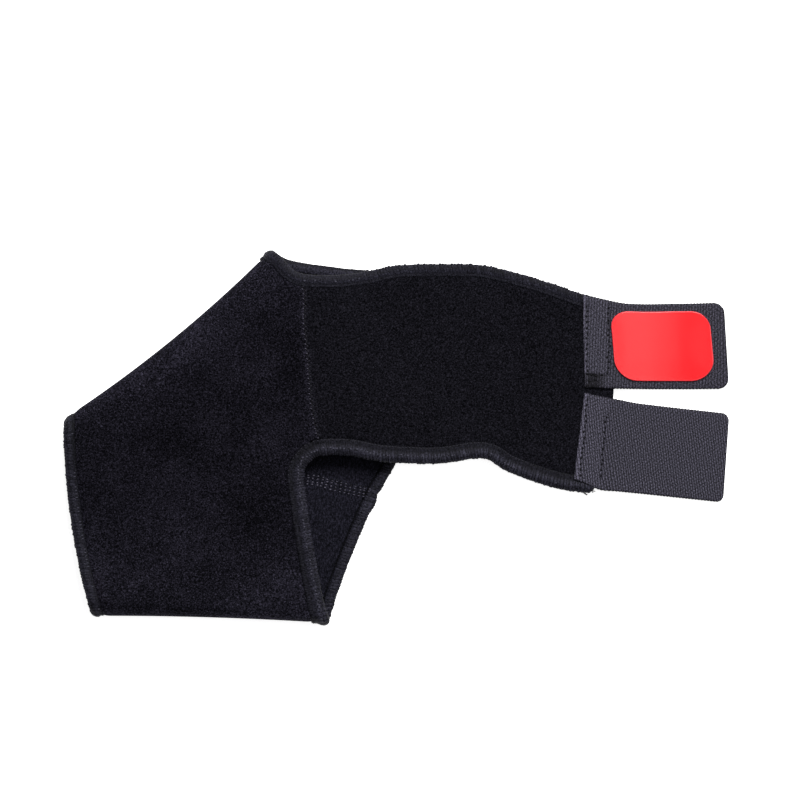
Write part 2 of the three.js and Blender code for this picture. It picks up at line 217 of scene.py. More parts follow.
seamLow = heelPair(np.array(float(heelSteps)))[1]
seamTop = legPair(np.array(float(legSteps)))[1]
# The band's seam lies in a slack S between the two edges, as a ridge with painted light on the pile beside it
seamSlack = {
    "low": -0.85, "middle": 0.5, "rise": (0.2, 0.6), "top": 1.2, "topRise": (0.75, 0.95),
    "starts": (0.0, 0.05), "ends": (1.0, 0.97),
}
seamRidge = {
    "height": 0.45, "halfWidth": 1.8, "light": 0.8, "lightAside": -0.9,
    "starts": (-6.0, 2.0), "ends": (82.0, 72.0), "above": 8.0,
}


def seamPoint(share):
    share = np.asarray(share, float)
    slack = mix(seamSlack["low"], seamSlack["middle"], smoothStep(*seamSlack["rise"], share))
    slack = slack + seamSlack["top"] * smoothStep(*seamSlack["topRise"], share)
    slack = slack * smoothStep(*seamSlack["starts"], share) * smoothStep(*seamSlack["ends"], share)
    line = bowedPoint(seamLow, seamTop, sleeve["seamBulge"], share)
    return line + np.stack([slack, np.zeros(share.shape)], -1)


def upperEnd(share):
    # the upper layer ends in the heel edge, then the band's seam, then the leg edge
    low, high = sleeve["seamFrom"], sleeve["seamTo"]
    onHeel = heelPair(share / low * heelSteps)
    onLeg = legPair((1 - share) / (1 - high) * legSteps)
    onSeam = seamPoint((share - low) / (high - low))
    ends = []
    for heel, leg in zip(onHeel, onLeg):
        end = np.where((share <= low)[..., None], heel, onSeam)
        ends.append(np.where((share >= high)[..., None], leg, end))
    return ends


# The flattened tube: stations run round its ring, and u runs from the toe to the heel end
lowerLayer, instepFold, upperLayer, soleFold = range(4)
foldRadius = sleeve["foldHeight"] / 2


def ringRun(*stretches):
    # each stretch is a layer with shares of its width, or a fold with degrees round it
    layers = np.concatenate([np.full(len(values), layer) for layer, values in stretches])
    return layers, np.concatenate([values for layer, values in stretches])


def sunk(share):
    return sleeve["layerSag"] * np.sin(math.pi * share) ** 2


def ringPoints(run, planUpper, planLower, out):
    layers, values = run
    end = np.zeros((1, 1))
    width = lengthOf(planUpper(end) - planUpper(end + 1))
    foldShare = foldRadius / width
    low, high = sleeve["seamFrom"], sleeve["seamTo"]
    flat = np.where(values < low, mix(foldShare, low, values / low), values)
    flat = np.where(values > high, mix(1 - foldShare, high, (1 - values) / (1 - high)), flat)
    radius = foldRadius - sleeve["wall"] / 2 + out
    angle = np.radians(values)
    centre = np.where(layers == soleFold, foldRadius, width - foldRadius)
    inFold = (layers == soleFold) | (layers == instepFold)
    share = np.clip(np.where(inFold, (centre + radius * np.cos(angle)) / width, flat), 0, 1)
    rise = np.where(inFold, np.sin(angle), np.where(layers == upperLayer, 1, -1))
    z = foldRadius + radius * rise - sunk(share) * np.maximum(rise, 0)
    raised = np.where(inFold, z / sleeve["foldHeight"], layers == upperLayer)
    plan = mix(planLower(share), planUpper(share), np.clip(raised, 0, 1)[..., None])
    return np.concatenate([plan, z[..., None]], -1)


def clothPoints(run, u, out):
    u = np.asarray(u, float)[:, None, None]
    bow = 4 * u * (1 - u)

    def plan(endPair):
        def at(share):
            share = np.broadcast_to(share, (len(u), share.shape[1]))
            bows = mix(np.array(sleeve["soleBow"]), np.array(sleeve["instepBow"]), share[..., None])
            return mix(toePair(share)[1], endPair(share)[1], u) + bow * bows

        return at

    return ringPoints(run, plan(upperEnd), plan(lowerPair), out)


def bandPoints(rows, columns):
    # underside of the band, rows from the seam to its end and columns from its lower to its upper edge
    rows, columns = np.broadcast_arrays(np.asarray(rows)[:, None], np.asarray(columns, float)[None, :])
    low = heelPair(heelSteps + rows)[1]
    top = legPair(legSteps + rows)[1]
    share = columns[..., None]
    bySeam = np.clip(1 - rows / sleeve["seamBlend"], 0, 1)
    shift = seamPoint(columns) - mix(seamLow, seamTop, share)
    plan = mix(low, top, share) + shift * bySeam[..., None]
    lift = splineLift(bandLifts, rows / lastBandRow)
    seamShare = mix(sleeve["seamFrom"], sleeve["seamTo"], columns)
    seamLift = sleeve["foldHeight"] - sleeve["wall"] - sunk(seamShare)
    z = mix(lift, seamLift, bySeam**2)
    return np.concatenate([plan, z[..., None]], -1)


seamLine = seamPoint(np.linspace(0, 1, 60))


def nearSeam(points, aside=0.0):
    # 1 on the band's seam, or beside it, and 0 away from it
    x, y, z = np.moveaxis(points, -1, 0)
    away = (x - np.interp(y, seamLine[:, 1], seamLine[:, 0]) - aside) / seamRidge["halfWidth"]
    onSeam = smoothStep(*seamRidge["starts"], y) * smoothStep(*seamRidge["ends"], y)
    return onSeam * (z > seamRidge["above"]) * bell(away)


def paintedSeamLight(points):
    # painted light on the pile beside the seam's ridge
    return 1 + seamRidge["light"] * nearSeam(points, seamRidge["lightAside"])


def settle(points):
    # the soft swells, and the ridge where the band is butted against the sleeve
    points = np.array(points)
    high = smoothStep(*upperHeights, points[..., 2])
    for swell in swells:
        away = lengthOf((points[..., :2] - np.array(swell["place"])) / np.array(swell["reach"]))
        points[..., 2] += swell["height"] * high * bell(away)
    points[..., 2] += seamRidge["height"] * nearSeam(points)
    return points


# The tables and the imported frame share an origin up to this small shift
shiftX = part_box("hook_tab_upper")[0][0] / mm - 93.4
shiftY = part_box("hook_tab_lower")[1][1] / mm - 22.4


# Meshes
def gridFaces(rows, columns, closeRows=False, closeColumns=False, offset=0):
    i = np.arange(rows if closeRows else rows - 1)[:, None]
    j = np.arange(columns if closeColumns else columns - 1)[None, :]
    nextI = (i + 1) % rows
    nextJ = (j + 1) % columns
    corners = [i * columns + j, i * columns + nextJ, nextI * columns + nextJ, nextI * columns + j]
    return np.stack(corners, -1).reshape(-1, 4) + offset


def slab(top, under):
    # a closed sheet between two grids: its points, its faces, and how many of them are top, underside and rim
    rows, columns = top.shape[:2]
    count = rows * columns
    border = np.concatenate([
        np.arange(columns),
        np.arange(1, rows) * columns + columns - 1,
        (rows - 1) * columns + np.arange(columns - 2, -1, -1),
        np.arange(rows - 2, 0, -1) * columns,
    ])
    ahead = np.roll(border, -1)
    rim = np.stack([border, border + count, ahead + count, ahead], -1)
    parts = [gridFaces(rows, columns), gridFaces(rows, columns, offset=count)[:, ::-1], rim]
    return np.concatenate([top, under]).reshape(-1, 3), np.concatenate(parts), [len(part) for part in parts]


def tube(centre, aside, third, radius, sides):
    # a closed thread along a line of centres, with rings in the plane of aside and third
    aside, third = np.broadcast_to(aside, centre.shape), np.broadcast_to(third, centre.shape)
    angle = (np.arange(sides) * 2 * math.pi / sides)[None, :, None]
    ring = np.cos(angle) * aside[:, None] + np.sin(angle) * third[:, None]
    points = centre[:, None] + np.reshape(radius, (-1, 1, 1)) * ring
    cap = np.array([[0, k + 2, k + 1, k] for k in range(1, sides - 2, 2)])
    end = cap[:, ::-1] + (len(centre) - 1) * sides
    faces = np.concatenate([gridFaces(len(centre), sides, closeColumns=True), cap, end])[:, ::-1]
    return points.reshape(-1, 3), faces


def joinMeshes(parts):
    # parts are (points, faces) pairs
    points = [part[0] for part in parts]
    starts = np.cumsum([0, *(len(some) for some in points[:-1])])
    faces = [part[1] + start for part, start in zip(parts, starts)]
    return np.concatenate(points), np.concatenate(faces)


def signedVolume(points, faces):
    a, b, c, d = (points[faces[:, k]] for k in range(4))
    return (a * (np.cross(b, c) + np.cross(c, d))).sum()


def makePiece(name, points, faces, materials, faceMaterials=None, uv=None, tone=None, facetAngle=None):
    # points in millimetres in the tables' frame, faces as rows of four indices
    placed = (points + np.array([shiftX, shiftY, 0])) * mm
    faces = np.asarray(faces, np.int32)
    if signedVolume(placed, faces) < 0:
        faces = faces[:, ::-1]
    mesh = bpy.data.meshes.new(name)
    mesh.vertices.add(len(placed))
    mesh.vertices.foreach_set("co", placed.ravel())
    mesh.loops.add(faces.size)
    mesh.loops.foreach_set("vertex_index", np.ascontiguousarray(faces).ravel())
    mesh.polygons.add(len(faces))
    mesh.polygons.foreach_set("loop_start", np.arange(0, faces.size, 4, dtype=np.int32))
    mesh.update(calc_edges=True)
    for material in materials:
        mesh.materials.append(material)
    if faceMaterials is not None:
        mesh.polygons.foreach_set("material_index", np.asarray(faceMaterials, np.int32))
    mesh.polygons.foreach_set("use_smooth", np.ones(len(faces), bool))
    if uv is not None:
        layer = mesh.uv_layers.new(name="clothMm")
        layer.data.foreach_set("uv", np.asarray(uv, np.float32)[faces.ravel()].ravel())
    if tone is not None:
        values = mesh.attributes.new("tone", "FLOAT", "POINT").data
        values.foreach_set("value", np.asarray(tone, np.float32).ravel())
    if facetAngle is not None:
        mesh.set_sharp_from_angle(angle=math.radians(facetAngle))
    mesh.validate()
    mesh.update()
    piece = bpy.data.objects.new(name, mesh)
    bpy.context.scene.collection.objects.link(piece)
    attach(piece, "root")
    return piece


# Materials
def toLinear(code):
    channels = [int(code[place : place + 2], 16) / 255 for place in (1, 3, 5)]
    linear = [c / 12.92 if c <= 0.04045 else ((c + 0.055) / 1.055) ** 2.4 for c in channels]
    return (*linear, 1.0)


def addNode(tree, kind, links=None, **settings):
    node = tree.nodes.new(kind)
    for name, value in settings.items():
        setattr(node, name, value)
    for socket, source in (links or {}).items():
        if isinstance(source, bpy.types.NodeSocket):
            tree.links.new(source, node.inputs[socket])
        else:
            node.inputs[socket].default_value = source
    return node


def newMaterial(name, coordinate="Object"):
    material = bpy.data.materials.new(name)
    material.use_nodes = True
    tree = material.node_tree
    return material, tree, addNode(tree, "ShaderNodeTexCoord").outputs[coordinate]


def perMm(size):
    # texture scale for a pattern of that size in millimetres, on coordinates in metres
    return 1 / (size * mm)


def noise(tree, place, scale, detail=2.0, roughness=0.5, distortion=0.0):
    sockets = {"Vector": place, "Scale": scale, "Detail": detail, "Roughness": roughness}
    return addNode(tree, "ShaderNodeTexNoise", {**sockets, "Distortion": distortion}).outputs["Fac"]


def stretched(tree, place, scale, degrees=0.0):
    sockets = {"Vector": place, "Rotation": (0, 0, math.radians(degrees)), "Scale": scale}
    return addNode(tree, "ShaderNodeMapping", sockets).outputs["Vector"]


def maths(tree, operation, *values):
    return addNode(tree, "ShaderNodeMath", dict(enumerate(values)), operation=operation).outputs["Value"]


def ranged(tree, value, start, end, toStart=0.0, toEnd=1.0):
    sockets = {"Value": value, "From Min": start, "From Max": end, "To Min": toStart, "To Max": toEnd}
    return addNode(tree, "ShaderNodeMapRange", sockets).outputs["Result"]


def blended(tree, share, first, second, how="MIX"):
    colours = [toLinear(value) if isinstance(value, str) else value for value in (first, second)]
    sockets = {"Factor": share, "A": colours[0], "B": colours[1]}
    return addNode(tree, "ShaderNodeMix", sockets, data_type="RGBA", blend_type=how).outputs["Result"]


def toneOf(tree):
    return addNode(tree, "ShaderNodeAttribute", attribute_name="tone").outputs["Fac"]


def surface(tree, colour, values, relief=None, depth=0.0, strength=1.0):
    # the colour, what is the same all over, and relief of that depth in millimetres
    shader = tree.nodes["Principled BSDF"]
    for socket, value in values.items():
        shader.inputs[socket].default_value = value
    tree.links.new(colour, shader.inputs["Base Color"])
    if relief is not None:
        sockets = {"Height": relief, "Distance": depth * mm, "Strength": strength}
        tree.links.new(addNode(tree, "ShaderNodeBump", sockets).outputs["Normal"], shader.inputs["Normal"])


# Loop pile brushed up on neoprene: light sinks in between the loops, so it is near black with lighter flecks
def neopreneLoopPile(name, loopColour, contrast, cloudiness):
    look = {"pit": "#030304", "fleckMm": 0.72, "cloudMm": 24.0, "depthMm": 0.3, "fleck": (0.3, 0.78)}
    material, tree, place = newMaterial(name)
    fleck = noise(tree, place, perMm(look["fleckMm"]), detail=1.0, roughness=0.7, distortion=0.8)
    cloud = noise(tree, place, perMm(look["cloudMm"]), detail=3.0)
    clouded = ranged(tree, cloud, 0.3, 0.7, -cloudiness, cloudiness)
    share = ranged(tree, maths(tree, "ADD", fleck, clouded), *look["fleck"])
    colour = blended(tree, maths(tree, "POWER", share, contrast), look["pit"], loopColour)
    toned = blended(tree, 1.0, colour, toneOf(tree), "MULTIPLY")
    values = {"Roughness": 0.95, "Specular IOR Level": 0.01, "Sheen Weight": 0.03, "Sheen Roughness": 0.3}
    surface(tree, toned, values, fleck, look["depthMm"], strength=0.35)
    return material


# Fine weft-knit polyester jersey, laminated inside: smoother than the pile, navy black, with upright wales
def knitJersey():
    look = {
        "valley": "#040408", "rib": "#25242f", "waleMm": 0.62, "waleStretch": (1, 0.35, 1),
        "waleDegrees": -14, "courseMm": 0.45, "depthMm": 0.12, "share": (0.14, 0.4), "contrast": 1.5,
    }
    material, tree, place = newMaterial("knitJersey")
    along = stretched(tree, place, look["waleStretch"], look["waleDegrees"])
    wales = noise(tree, along, perMm(look["waleMm"]))
    both = maths(tree, "MULTIPLY", wales, noise(tree, place, perMm(look["courseMm"]), detail=1.0))
    steep = maths(tree, "POWER", ranged(tree, both, *look["share"]), look["contrast"])
    colour = blended(tree, steep, look["valley"], look["rib"])
    values = {"Roughness": 0.85, "Specular IOR Level": 0.05}
    surface(tree, colour, values, both, look["depthMm"], strength=0.6)
    return material


# Closed-cell neoprene foam, cut with a blade: matt black
def cutNeoprene():
    look = {"cell": "#0a0a0c", "wall": "#17171b", "cellMm": 0.5}
    material, tree, place = newMaterial("cutNeoprene")
    cells = addNode(tree, "ShaderNodeTexVoronoi", {"Vector": place, "Scale": perMm(look["cellMm"])})
    colour = blended(tree, cells.outputs["Distance"], look["cell"], look["wall"])
    surface(tree, colour, {"Roughness": 0.9, "Specular IOR Level": 0.1})
    return material


# Textured polyester yarn, overlocked: soft filaments side by side, with a painted highlight along the crest
# of the roll from the tone attribute
def overlockYarn():
    look = {
        "dark": "#020203", "light": "#363541", "fibreMm": 0.6, "stretch": (1, 0.6, 1), "share": (0.36, 0.66),
        "depthMm": 0.1,
    }
    material, tree, place = newMaterial("overlockYarn", "UV")
    along = stretched(tree, place, look["stretch"])
    fibres = noise(tree, along, 1 / look["fibreMm"], detail=3.0, roughness=0.7)
    colour = blended(tree, ranged(tree, fibres, *look["share"]), look["dark"], look["light"])
    toned = blended(tree, 1.0, colour, toneOf(tree), "MULTIPLY")
    values = {"Roughness": 0.6, "Specular IOR Level": 0.05}
    surface(tree, toned, values, fibres, look["depthMm"], strength=0.6)
    return material


# Spun polyester sewing thread: small, rounded and a little glossy
def sewingThread(name, colourCode):
    look = {"twistMm": 0.35, "darkest": 0.6, "lightest": 1.3}
    material, tree, place = newMaterial(name)
    twist = noise(tree, place, perMm(look["twistMm"]), detail=1.0)
    share = ranged(tree, twist, 0.0, 1.0, look["darkest"], look["lightest"])
    colour = blended(tree, 1.0, colourCode, share, "MULTIPLY")
    surface(tree, colour, {"Roughness": 0.55, "Specular IOR Level": 0.12})
    return material


def slantedWave(tree, split, alongTurns, acrossTurns, wobble):
    # a wave over the cloth, its turns per millimetre along and across the tape
    first = maths(tree, "MULTIPLY_ADD", split.outputs["X"], 2 * math.pi * alongTurns, wobble)
    both = maths(tree, "MULTIPLY_ADD", split.outputs["Y"], 2 * math.pi * acrossTurns, first)
    return maths(tree, "COSINE", both)


# Woven nylon hook tape from its back: ribs of yarn floats, blue-grey, with painted sheen on their crowns and
# painted shade between them
def hookTapeWeave(name, ribMm, floatMm, shear, waves, fuzzy):
    look = {
        "gap": "#040308", "crown": "#6a6779", "depthMm": 0.1, "fuzzMm": 0.65, "wobbleMm": 3.0, "wobble": 2.4,
        "weights": (0.4, 0.13, 0.23),  # of the ribs, the floats and where they cross
        "darkest": -0.67, "lightest": 1.57, "contrast": 1.5,
    }
    material, tree, place = newMaterial(name, "UV")
    split = addNode(tree, "ShaderNodeSeparateXYZ", {"Vector": place})
    loose = noise(tree, place, 1 / look["wobbleMm"], detail=1.0)
    wobble = ranged(tree, loose, 0.0, 1.0, -look["wobble"], look["wobble"])
    ribs = slantedWave(tree, split, 1 / ribMm, shear / ribMm, wobble)
    floats = slantedWave(tree, split, 0.5 / ribMm, 1 / floatMm, wobble)
    cross = maths(tree, "MULTIPLY", ribs, floats)
    fuzz = noise(tree, place, 1 / look["fuzzMm"], detail=1.0, roughness=0.8)
    woven = maths(tree, "MULTIPLY", fuzz, fuzzy)
    for wave, weight in zip((ribs, floats, cross), look["weights"]):
        woven = maths(tree, "MULTIPLY_ADD", wave, waves * weight, woven)
    toned = maths(tree, "MULTIPLY", woven, toneOf(tree))
    share = ranged(tree, toned, fuzzy / 2 + look["darkest"], fuzzy / 2 + look["lightest"])
    steep = maths(tree, "POWER", share, look["contrast"])
    colour = blended(tree, steep, look["gap"], look["crown"])
    values = {"Roughness": 0.7, "Specular IOR Level": 0.15}
    surface(tree, colour, values, woven, look["depthMm"], strength=0.5)
    return material


# Moulded soft PVC: even red with a satin skin that mirrors the lamps faintly, and a painted highlight in pale
# pink along its rim
def mouldedPvc():
    look = {
        "red": "#e3101a", "deep": "#d80c17", "rim": "#f8666e", "grainMm": 0.5, "cloudMm": 18.0,
        "depthMm": 0.01,
    }
    material, tree, place = newMaterial("mouldedPvc")
    colour = blended(tree, noise(tree, place, perMm(look["cloudMm"])), look["red"], look["deep"])
    rimmed = blended(tree, toneOf(tree), colour, look["rim"])
    grain = noise(tree, place, perMm(look["grainMm"]))
    surface(tree, rimmed, {"Roughness": 0.22, "IOR": 1.5}, grain, look["depthMm"], strength=0.3)
    return material


sleevePile = neopreneLoopPile("brushedLoopPile", "#2d2b36", contrast=2.3, cloudiness=0.05)
bandPile = neopreneLoopPile("evenLoopPile", "#26252d", contrast=1.9, cloudiness=0.015)
jersey = knitJersey()
foam = cutNeoprene()
edgeYarn = overlockYarn()
needleThread = sewingThread("needleThread", "#25242c")
looperThread = sewingThread("looperThread", "#393843")
seamThread = sewingThread("seamThread", "#464450")
# a darker copy of the seam thread, as painted shade on the front seam's sunk legs
shadedSunkThread = sewingThread("shadedSunkThread", "#141318")
flatlockThread = sewingThread("flatlockThread", "#4c4a56")
dimFlatlock = sewingThread("dimFlatlock", "#3e3c48")
tackThread = sewingThread("tackThread", "#0d0c10")
hookNylon = sewingThread("hookNylon", "#2c2b33")
print("materials made")


# Foot sleeve
footSleeve = {
    "paintedSoleSheen": 0.7,  # painted sheen: the pile is painted lighter towards the sole fold
    "paintedSoleSheenFrom": (-25.0, -85.0),
    # and is painted lighter where the cloth turns over, as painted sheen, with painted shade set back from
    # the sole's edge
    "paintedFoldLight": [
        {"between": ("toeInstep", "legInstep"), "reach": (28.0, 8.0), "light": 0.65},
        {"between": ("toeInstep", "legInstep"), "reach": (9.0, 0.0), "light": 0.6},
        {"between": ("toeSole", "heelSole"), "reach": (13.0, 5.0), "light": -0.35},
        {"between": ("toeSole", "heelSole"), "reach": (5.0, 1.5), "light": 1.8},
    ],
    "length": 105.0,  # usual distance from the toe to the heel end
    "alongSteps": 64,
    "lowerSteps": 120,
    "upperSteps": 120,
    "foldSteps": 18,
    "pinch": 0.42,  # how far the overlocking presses the cloth in at its edges
    "seamPinch": 0.25,  # share of that along the band's seam
    "pinchReach": 1.5,
    "flat": (0.38, 0.175),
    "area": 0.0386,
}


def edgeSpacing(count, length):
    # rows gather towards both edges, so that the pinch beside the edging is smooth
    close = np.array([0, 0.4, 0.9, 1.5, 2.3, 3.4]) / length
    middle = np.linspace(close[-1], 1 - close[-1], count - 2 * len(close) + 2)[1:-1]
    return np.concatenate([close, middle, 1 - close[::-1]])


def pinched(shares, length):
    away = np.minimum(shares, 1 - shares) * length
    return footSleeve["pinch"] * bell(away / footSleeve["pinchReach"])


def fullRing():
    low, high = sleeve["seamFrom"], sleeve["seamTo"]
    count = footSleeve["upperSteps"]
    upperShares = np.concatenate([
        np.linspace(1, high, count // 8),
        np.linspace(high, low, count // 2)[1:],
        np.linspace(low, 0, count // 2)[1:],
    ])
    return ringRun(
        (lowerLayer, np.linspace(0, 1, footSleeve["lowerSteps"])),
        (instepFold, np.linspace(-90, 90, footSleeve["foldSteps"])[1:-1]),
        (upperLayer, upperShares),
        (soleFold, np.linspace(90, 270, footSleeve["foldSteps"])[1:-1]),
    )


def makeFootSleeve():
    run = fullRing()
    length = footSleeve["length"]
    u = edgeSpacing(footSleeve["alongSteps"], length)
    half = sleeve["wall"] / 2
    onSeam = (run[0] == upperLayer) & (run[1] > sleeve["seamFrom"]) & (run[1] < sleeve["seamTo"])
    pinch = pinched(u, length)[:, None] * np.where(onSeam & (u[:, None] > 0.5), footSleeve["seamPinch"], 1.0)
    outer = clothPoints(run, u, half)
    inner = clothPoints(run, u, -half)
    pressed = (outer - inner) * (pinch / sleeve["wall"])[..., None]
    outer, inner = settle(outer - pressed), settle(inner + pressed)
    rows, columns = outer.shape[:2]
    count = rows * columns
    j = np.arange(columns)
    ahead = (j + 1) % columns
    toeRim = np.stack([j, j + count, ahead + count, ahead], -1)
    heelRim = toeRim[:, ::-1] + (rows - 1) * columns
    parts = [
        gridFaces(rows, columns, closeColumns=True),
        gridFaces(rows, columns, closeColumns=True, offset=count)[:, ::-1],
        toeRim,
        heelRim,
    ]
    slots = np.repeat([0, 1, 2, 2], [len(part) for part in parts])
    points = np.concatenate([outer, inner]).reshape(-1, 3)
    tone = paintedSeamLight(points) + footSleeve["paintedSoleSheen"] * smoothStep(*footSleeve["paintedSoleSheenFrom"], points[:, 1])
    for fold in footSleeve["paintedFoldLight"]:
        start, direction = foldAt(*fold["between"])
        away = np.abs((points[:, :2] - start) @ np.array([-direction[1], direction[0]]))
        tone = tone + fold["light"] * smoothStep(*fold["reach"], away)
    faces = np.concatenate(parts)
    piece = makePiece("footSleeve", points, faces, [sleevePile, jersey, foam], slots, tone=tone)
    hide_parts("foot_sleeve")
    return piece


# Ankle band
ankleBand = {
    "rowSteps": 120, "columnSteps": 64, "width": 80.0, "offFloor": (0.2, 1.5),
    "flat": (0.157, 0.086), "area": 0.0125,
}


def makeAnkleBand():
    rows = np.linspace(0, lastBandRow, ankleBand["rowSteps"])
    columns = edgeSpacing(ankleBand["columnSteps"], ankleBand["width"])
    under = bandPoints(rows, columns)
    pinch = pinched(columns, ankleBand["width"])[None, :, None] * up
    top = settle(under + up * sleeve["wall"] - pinch)
    under = settle(under + pinch * smoothStep(*ankleBand["offFloor"], under[..., 2:]))
    points, faces, counts = slab(top, under)
    slots = np.repeat([0, 1, 2], counts)
    piece = makePiece("ankleBand", points, faces, [bandPile, jersey, foam], slots, tone=paintedSeamLight(points))
    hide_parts("ankle_band")
    return piece


# Overlocked edgings
edging = {
    "stitchMm": 1.55,  # one turn of yarn round the edge
    "heelStitchMm": 2.2,  # turns spread out and lie deeper round the heel corner
    "heelReach": 14.0,
    "heelDeeper": 0.8,
    "stepMm": 0.22,
    "lean": 0.7,  # stitches that each turn slants across the edge
    "wander": 0.22,  # how unevenly the turns follow each other, in stitches
    # thickness of single turns, how far they stand out at the rim, and how much painted highlight they catch
    "fullness": (0.7, 1.25),
    "proud": (0.1, 1.0),
    "shine": (0.72, 1.3),
    "sunk": 0.75,  # the part of a turn that lies below the roll's surface, and inside its rim
    "rimSunk": 0.3,
    "rimShares": (0.6, 1.0),  # shares of the width between which the rim's shifts set in
    "plainYarn": (0.48, 0.68),  # tone between the turns, and the painted highlight that their crest adds
    "barredYarn": (0.3, 1.06),
    "flatTone": 0.95,  # tone of the yarn that lies on the pile, and how much of the turns shows there
    "flatShare": 0.3,
    "alongBand": (-12.0, 4.0),  # x where the heel opening ends and the band's free edge begins
    "jerseyFrom": 5.9,  # beyond this from the rim, the wearer's side shows the lining
    "rollReach": 3.0,  # this much from the rim keeps its shape, and the rest takes up the width
    "endRadius": 3.0,  # the cut ends are rounded off
    "tuck": 0.3,  # how far the inner end reaches into the cloth
    "fullWidth": 7.9,
    "fluffSteps": 3,  # stations along the edge that share one tuft of loose fibres
    "fluffTone": 0.7,
    "borderFrom": 7.5,
    "borderRough": 0.25,  # how unevenly the yarn lies on the pile
    # distance from the rim, half the thickness on the outer and the wearer's side, depth of the grooves, and
    # how light the yarn is on the two sides, with a painted highlight over the crest of the roll and painted
    # shade in the groove beside the cloth
    "section": [
        (8.2, 0.90, 0.80, 0.00, 0.2, 0.4),
        (7.8, 1.36, 1.06, 0.04, 0.36, 0.4),
        (7.3, 1.54, 1.10, 0.06, 0.5, 0.4),
        (6.4, 1.52, 1.08, 0.08, 0.45, 0.4),
        (6.0, 1.52, 0.95, 0.10, 0.38, 0.2),
        (5.8, 1.54, 0.30, 0.10, 0.38, 0.1),
        (5.4, 1.60, 0.40, 0.12, 0.44, 0.15),
        (4.8, 1.76, 1.50, 0.18, 0.6, 0.7),
        (4.2, 1.96, 1.90, 0.22, 0.8, 0.75),
        (3.6, 2.12, 2.06, 0.26, 0.9, 0.7),
        (3.0, 2.20, 2.14, 0.28, 0.85, 0.68),
        (2.4, 2.20, 2.16, 0.30, 0.76, 0.78),
        (1.8, 2.08, 2.06, 0.30, 0.62, 0.82),
        (1.2, 1.84, 1.84, 0.30, 0.72, 0.7),
        (0.7, 1.50, 1.50, 0.28, 0.82, 0.6),
        (0.35, 1.10, 1.10, 0.24, 0.75, 0.5),
        (0.1, 0.64, 0.64, 0.16, 0.6, 0.4),
        (0.0, 0.22, 0.22, 0.06, 0.5, 0.35),
    ],
}
# Distances from the rim between which each change of the yarn sets in
yarnZones = {
    "edge": (1.6, 0.4), "rough": (5.8, 7.3), "shaded": (6.8, 7.5), "turned": (6.2, 4.4), "gap": (1.0, 3.0),
    "ragged": (6.6, 7.4), "tipRim": (1.6, 0.3), "bySleeve": (3.0, 6.5),
}
# What sets the edgings apart: how light the yarn is by the rim, by the cloth and on the wearer's side, as
# painted light and shade over the roll, how uneven it is, and how much of the looper chain and needle thread
# shows
edgingLooks = {
    "toeEdging": {
        "edge": 1.35, "rim": 0.8, "cloth": 1.15, "turn": (4.0, 5.5), "border": 1.0,
        "inner": 1.0, "ragged": 0.7, "fluff": 0.4, "scallop": 0.5, "barred": 0.0,
        "smooth": 0.0, "chain": 0.0, "needles": "across",
    },
    "heelEdging": {
        "edge": 1.0, "rim": 1.0, "cloth": 1.0, "turn": (4.0, 5.5), "border": 1.15,
        "inner": 1.0, "ragged": 0.5, "fluff": 0.35, "scallop": 0.5, "barred": 1.0,
        "smooth": 0.0, "chain": 1.0, "needles": "along",
    },
    "legEdging": {
        "edge": 1.0, "rim": 0.7, "cloth": 1.15, "turn": (2.8, 4.4), "border": 1.5,
        "inner": 0.7, "ragged": 0.1, "fluff": 0.6, "scallop": 0.7, "barred": 0.0,
        "smooth": 1.0, "chain": 0.2, "needles": "hidden",
    },
}
# Stitches of the needle thread: how far in and how high they lie, and how many show by their place along y
alongTheCloth = {"inward": 0.06, "height": 1.5, "length": 1.2, "radius": 0.28, "dip": 0.3, "slot": 1}
needleStitches = {
    "along": {**alongTheCloth, "shown": lambda y: (y > -20) * 1.0},
    "across": {
        **alongTheCloth, "inward": 0.22, "height": 1.62, "length": 1.7, "slot": 3,
        "shown": lambda y: 0.15 + 0.75 * bell((y + 45) / 18),
    },
    "hidden": {**alongTheCloth, "shown": lambda y: 0 * y},
}
needlePitchMm = 1.75
# The looper thread's chain lies along the crest, this far from the rim
looperChain = {
    "rim": 3.4, "heelRim": 2.8, "heelTo": (-22.0, -12.0), "mostOfWidth": 0.52, "pitchMm": 1.7,
    "onBand": 0.25,  # how much of it shows along the band
    "length": 1.5, "radius": 0.5, "dip": 0.35, "height": 2.06, "sinks": (-0.5, 0.12),
    "slant": 0.25, "sway": 0.3,
}
heelCorner = {"place": (-44.0, -8.0), "reach": 8.0, "dull": 0.4}  # painted shade on the yarn at the turn, where it sinks into the pile
heelShade = {"from": -30.0, "to": -45.0, "dull": 0.2}  # has painted shade beside the sleeve
heelTip = {"from": -62.0, "to": -75.0, "lift": 0.18, "paintedRimShade": 0.4}  # and lies open and lighter at the sole, with painted shade along its rim there
# At the toe it is darker and more uneven towards the instep, most beside the sleeve
toeTop = {"from": -25.0, "to": -5.0, "dull": 0.1, "dullBySleeve": 0.4, "fluff": 0.9}
# Round the leg opening it is drawn smooth, and painted lighter down to the gap between the layers, against
# the shade there
legOpening = {"from": -8.0, "to": -22.0, "ridge": 0.7, "scallop": 0.75, "tone": 0.7, "gapLight": 1.2}
# The overlocking stands out below the inside seam, which runs out through the lower layer's edge
edgeNotch = {
    "place": (-10.2, -32.4), "bulge": 1.0, "upReach": 5.0, "downReach": 2.0, "depth": 0.35,
    "reach": 1.4, "away": 4.2, "near": 4.0,
}


def arcOf(line):
    return np.concatenate([[0], np.cumsum(lengthOf(np.diff(line, axis=0)))])


def evenStations(inner, outer, normal, closed):
    if closed:
        inner, outer, normal = (np.concatenate([x, x[:1]]) for x in (inner, outer, normal))
    arc = arcOf((inner + outer) / 2)
    even = np.linspace(0, arc[-1], int(arc[-1] / edging["stepMm"]), endpoint=not closed)
    resample = lambda values: np.stack([np.interp(even, arc, values[:, k]) for k in range(3)], -1)
    return resample(inner), resample(outer), unit(resample(normal)), even


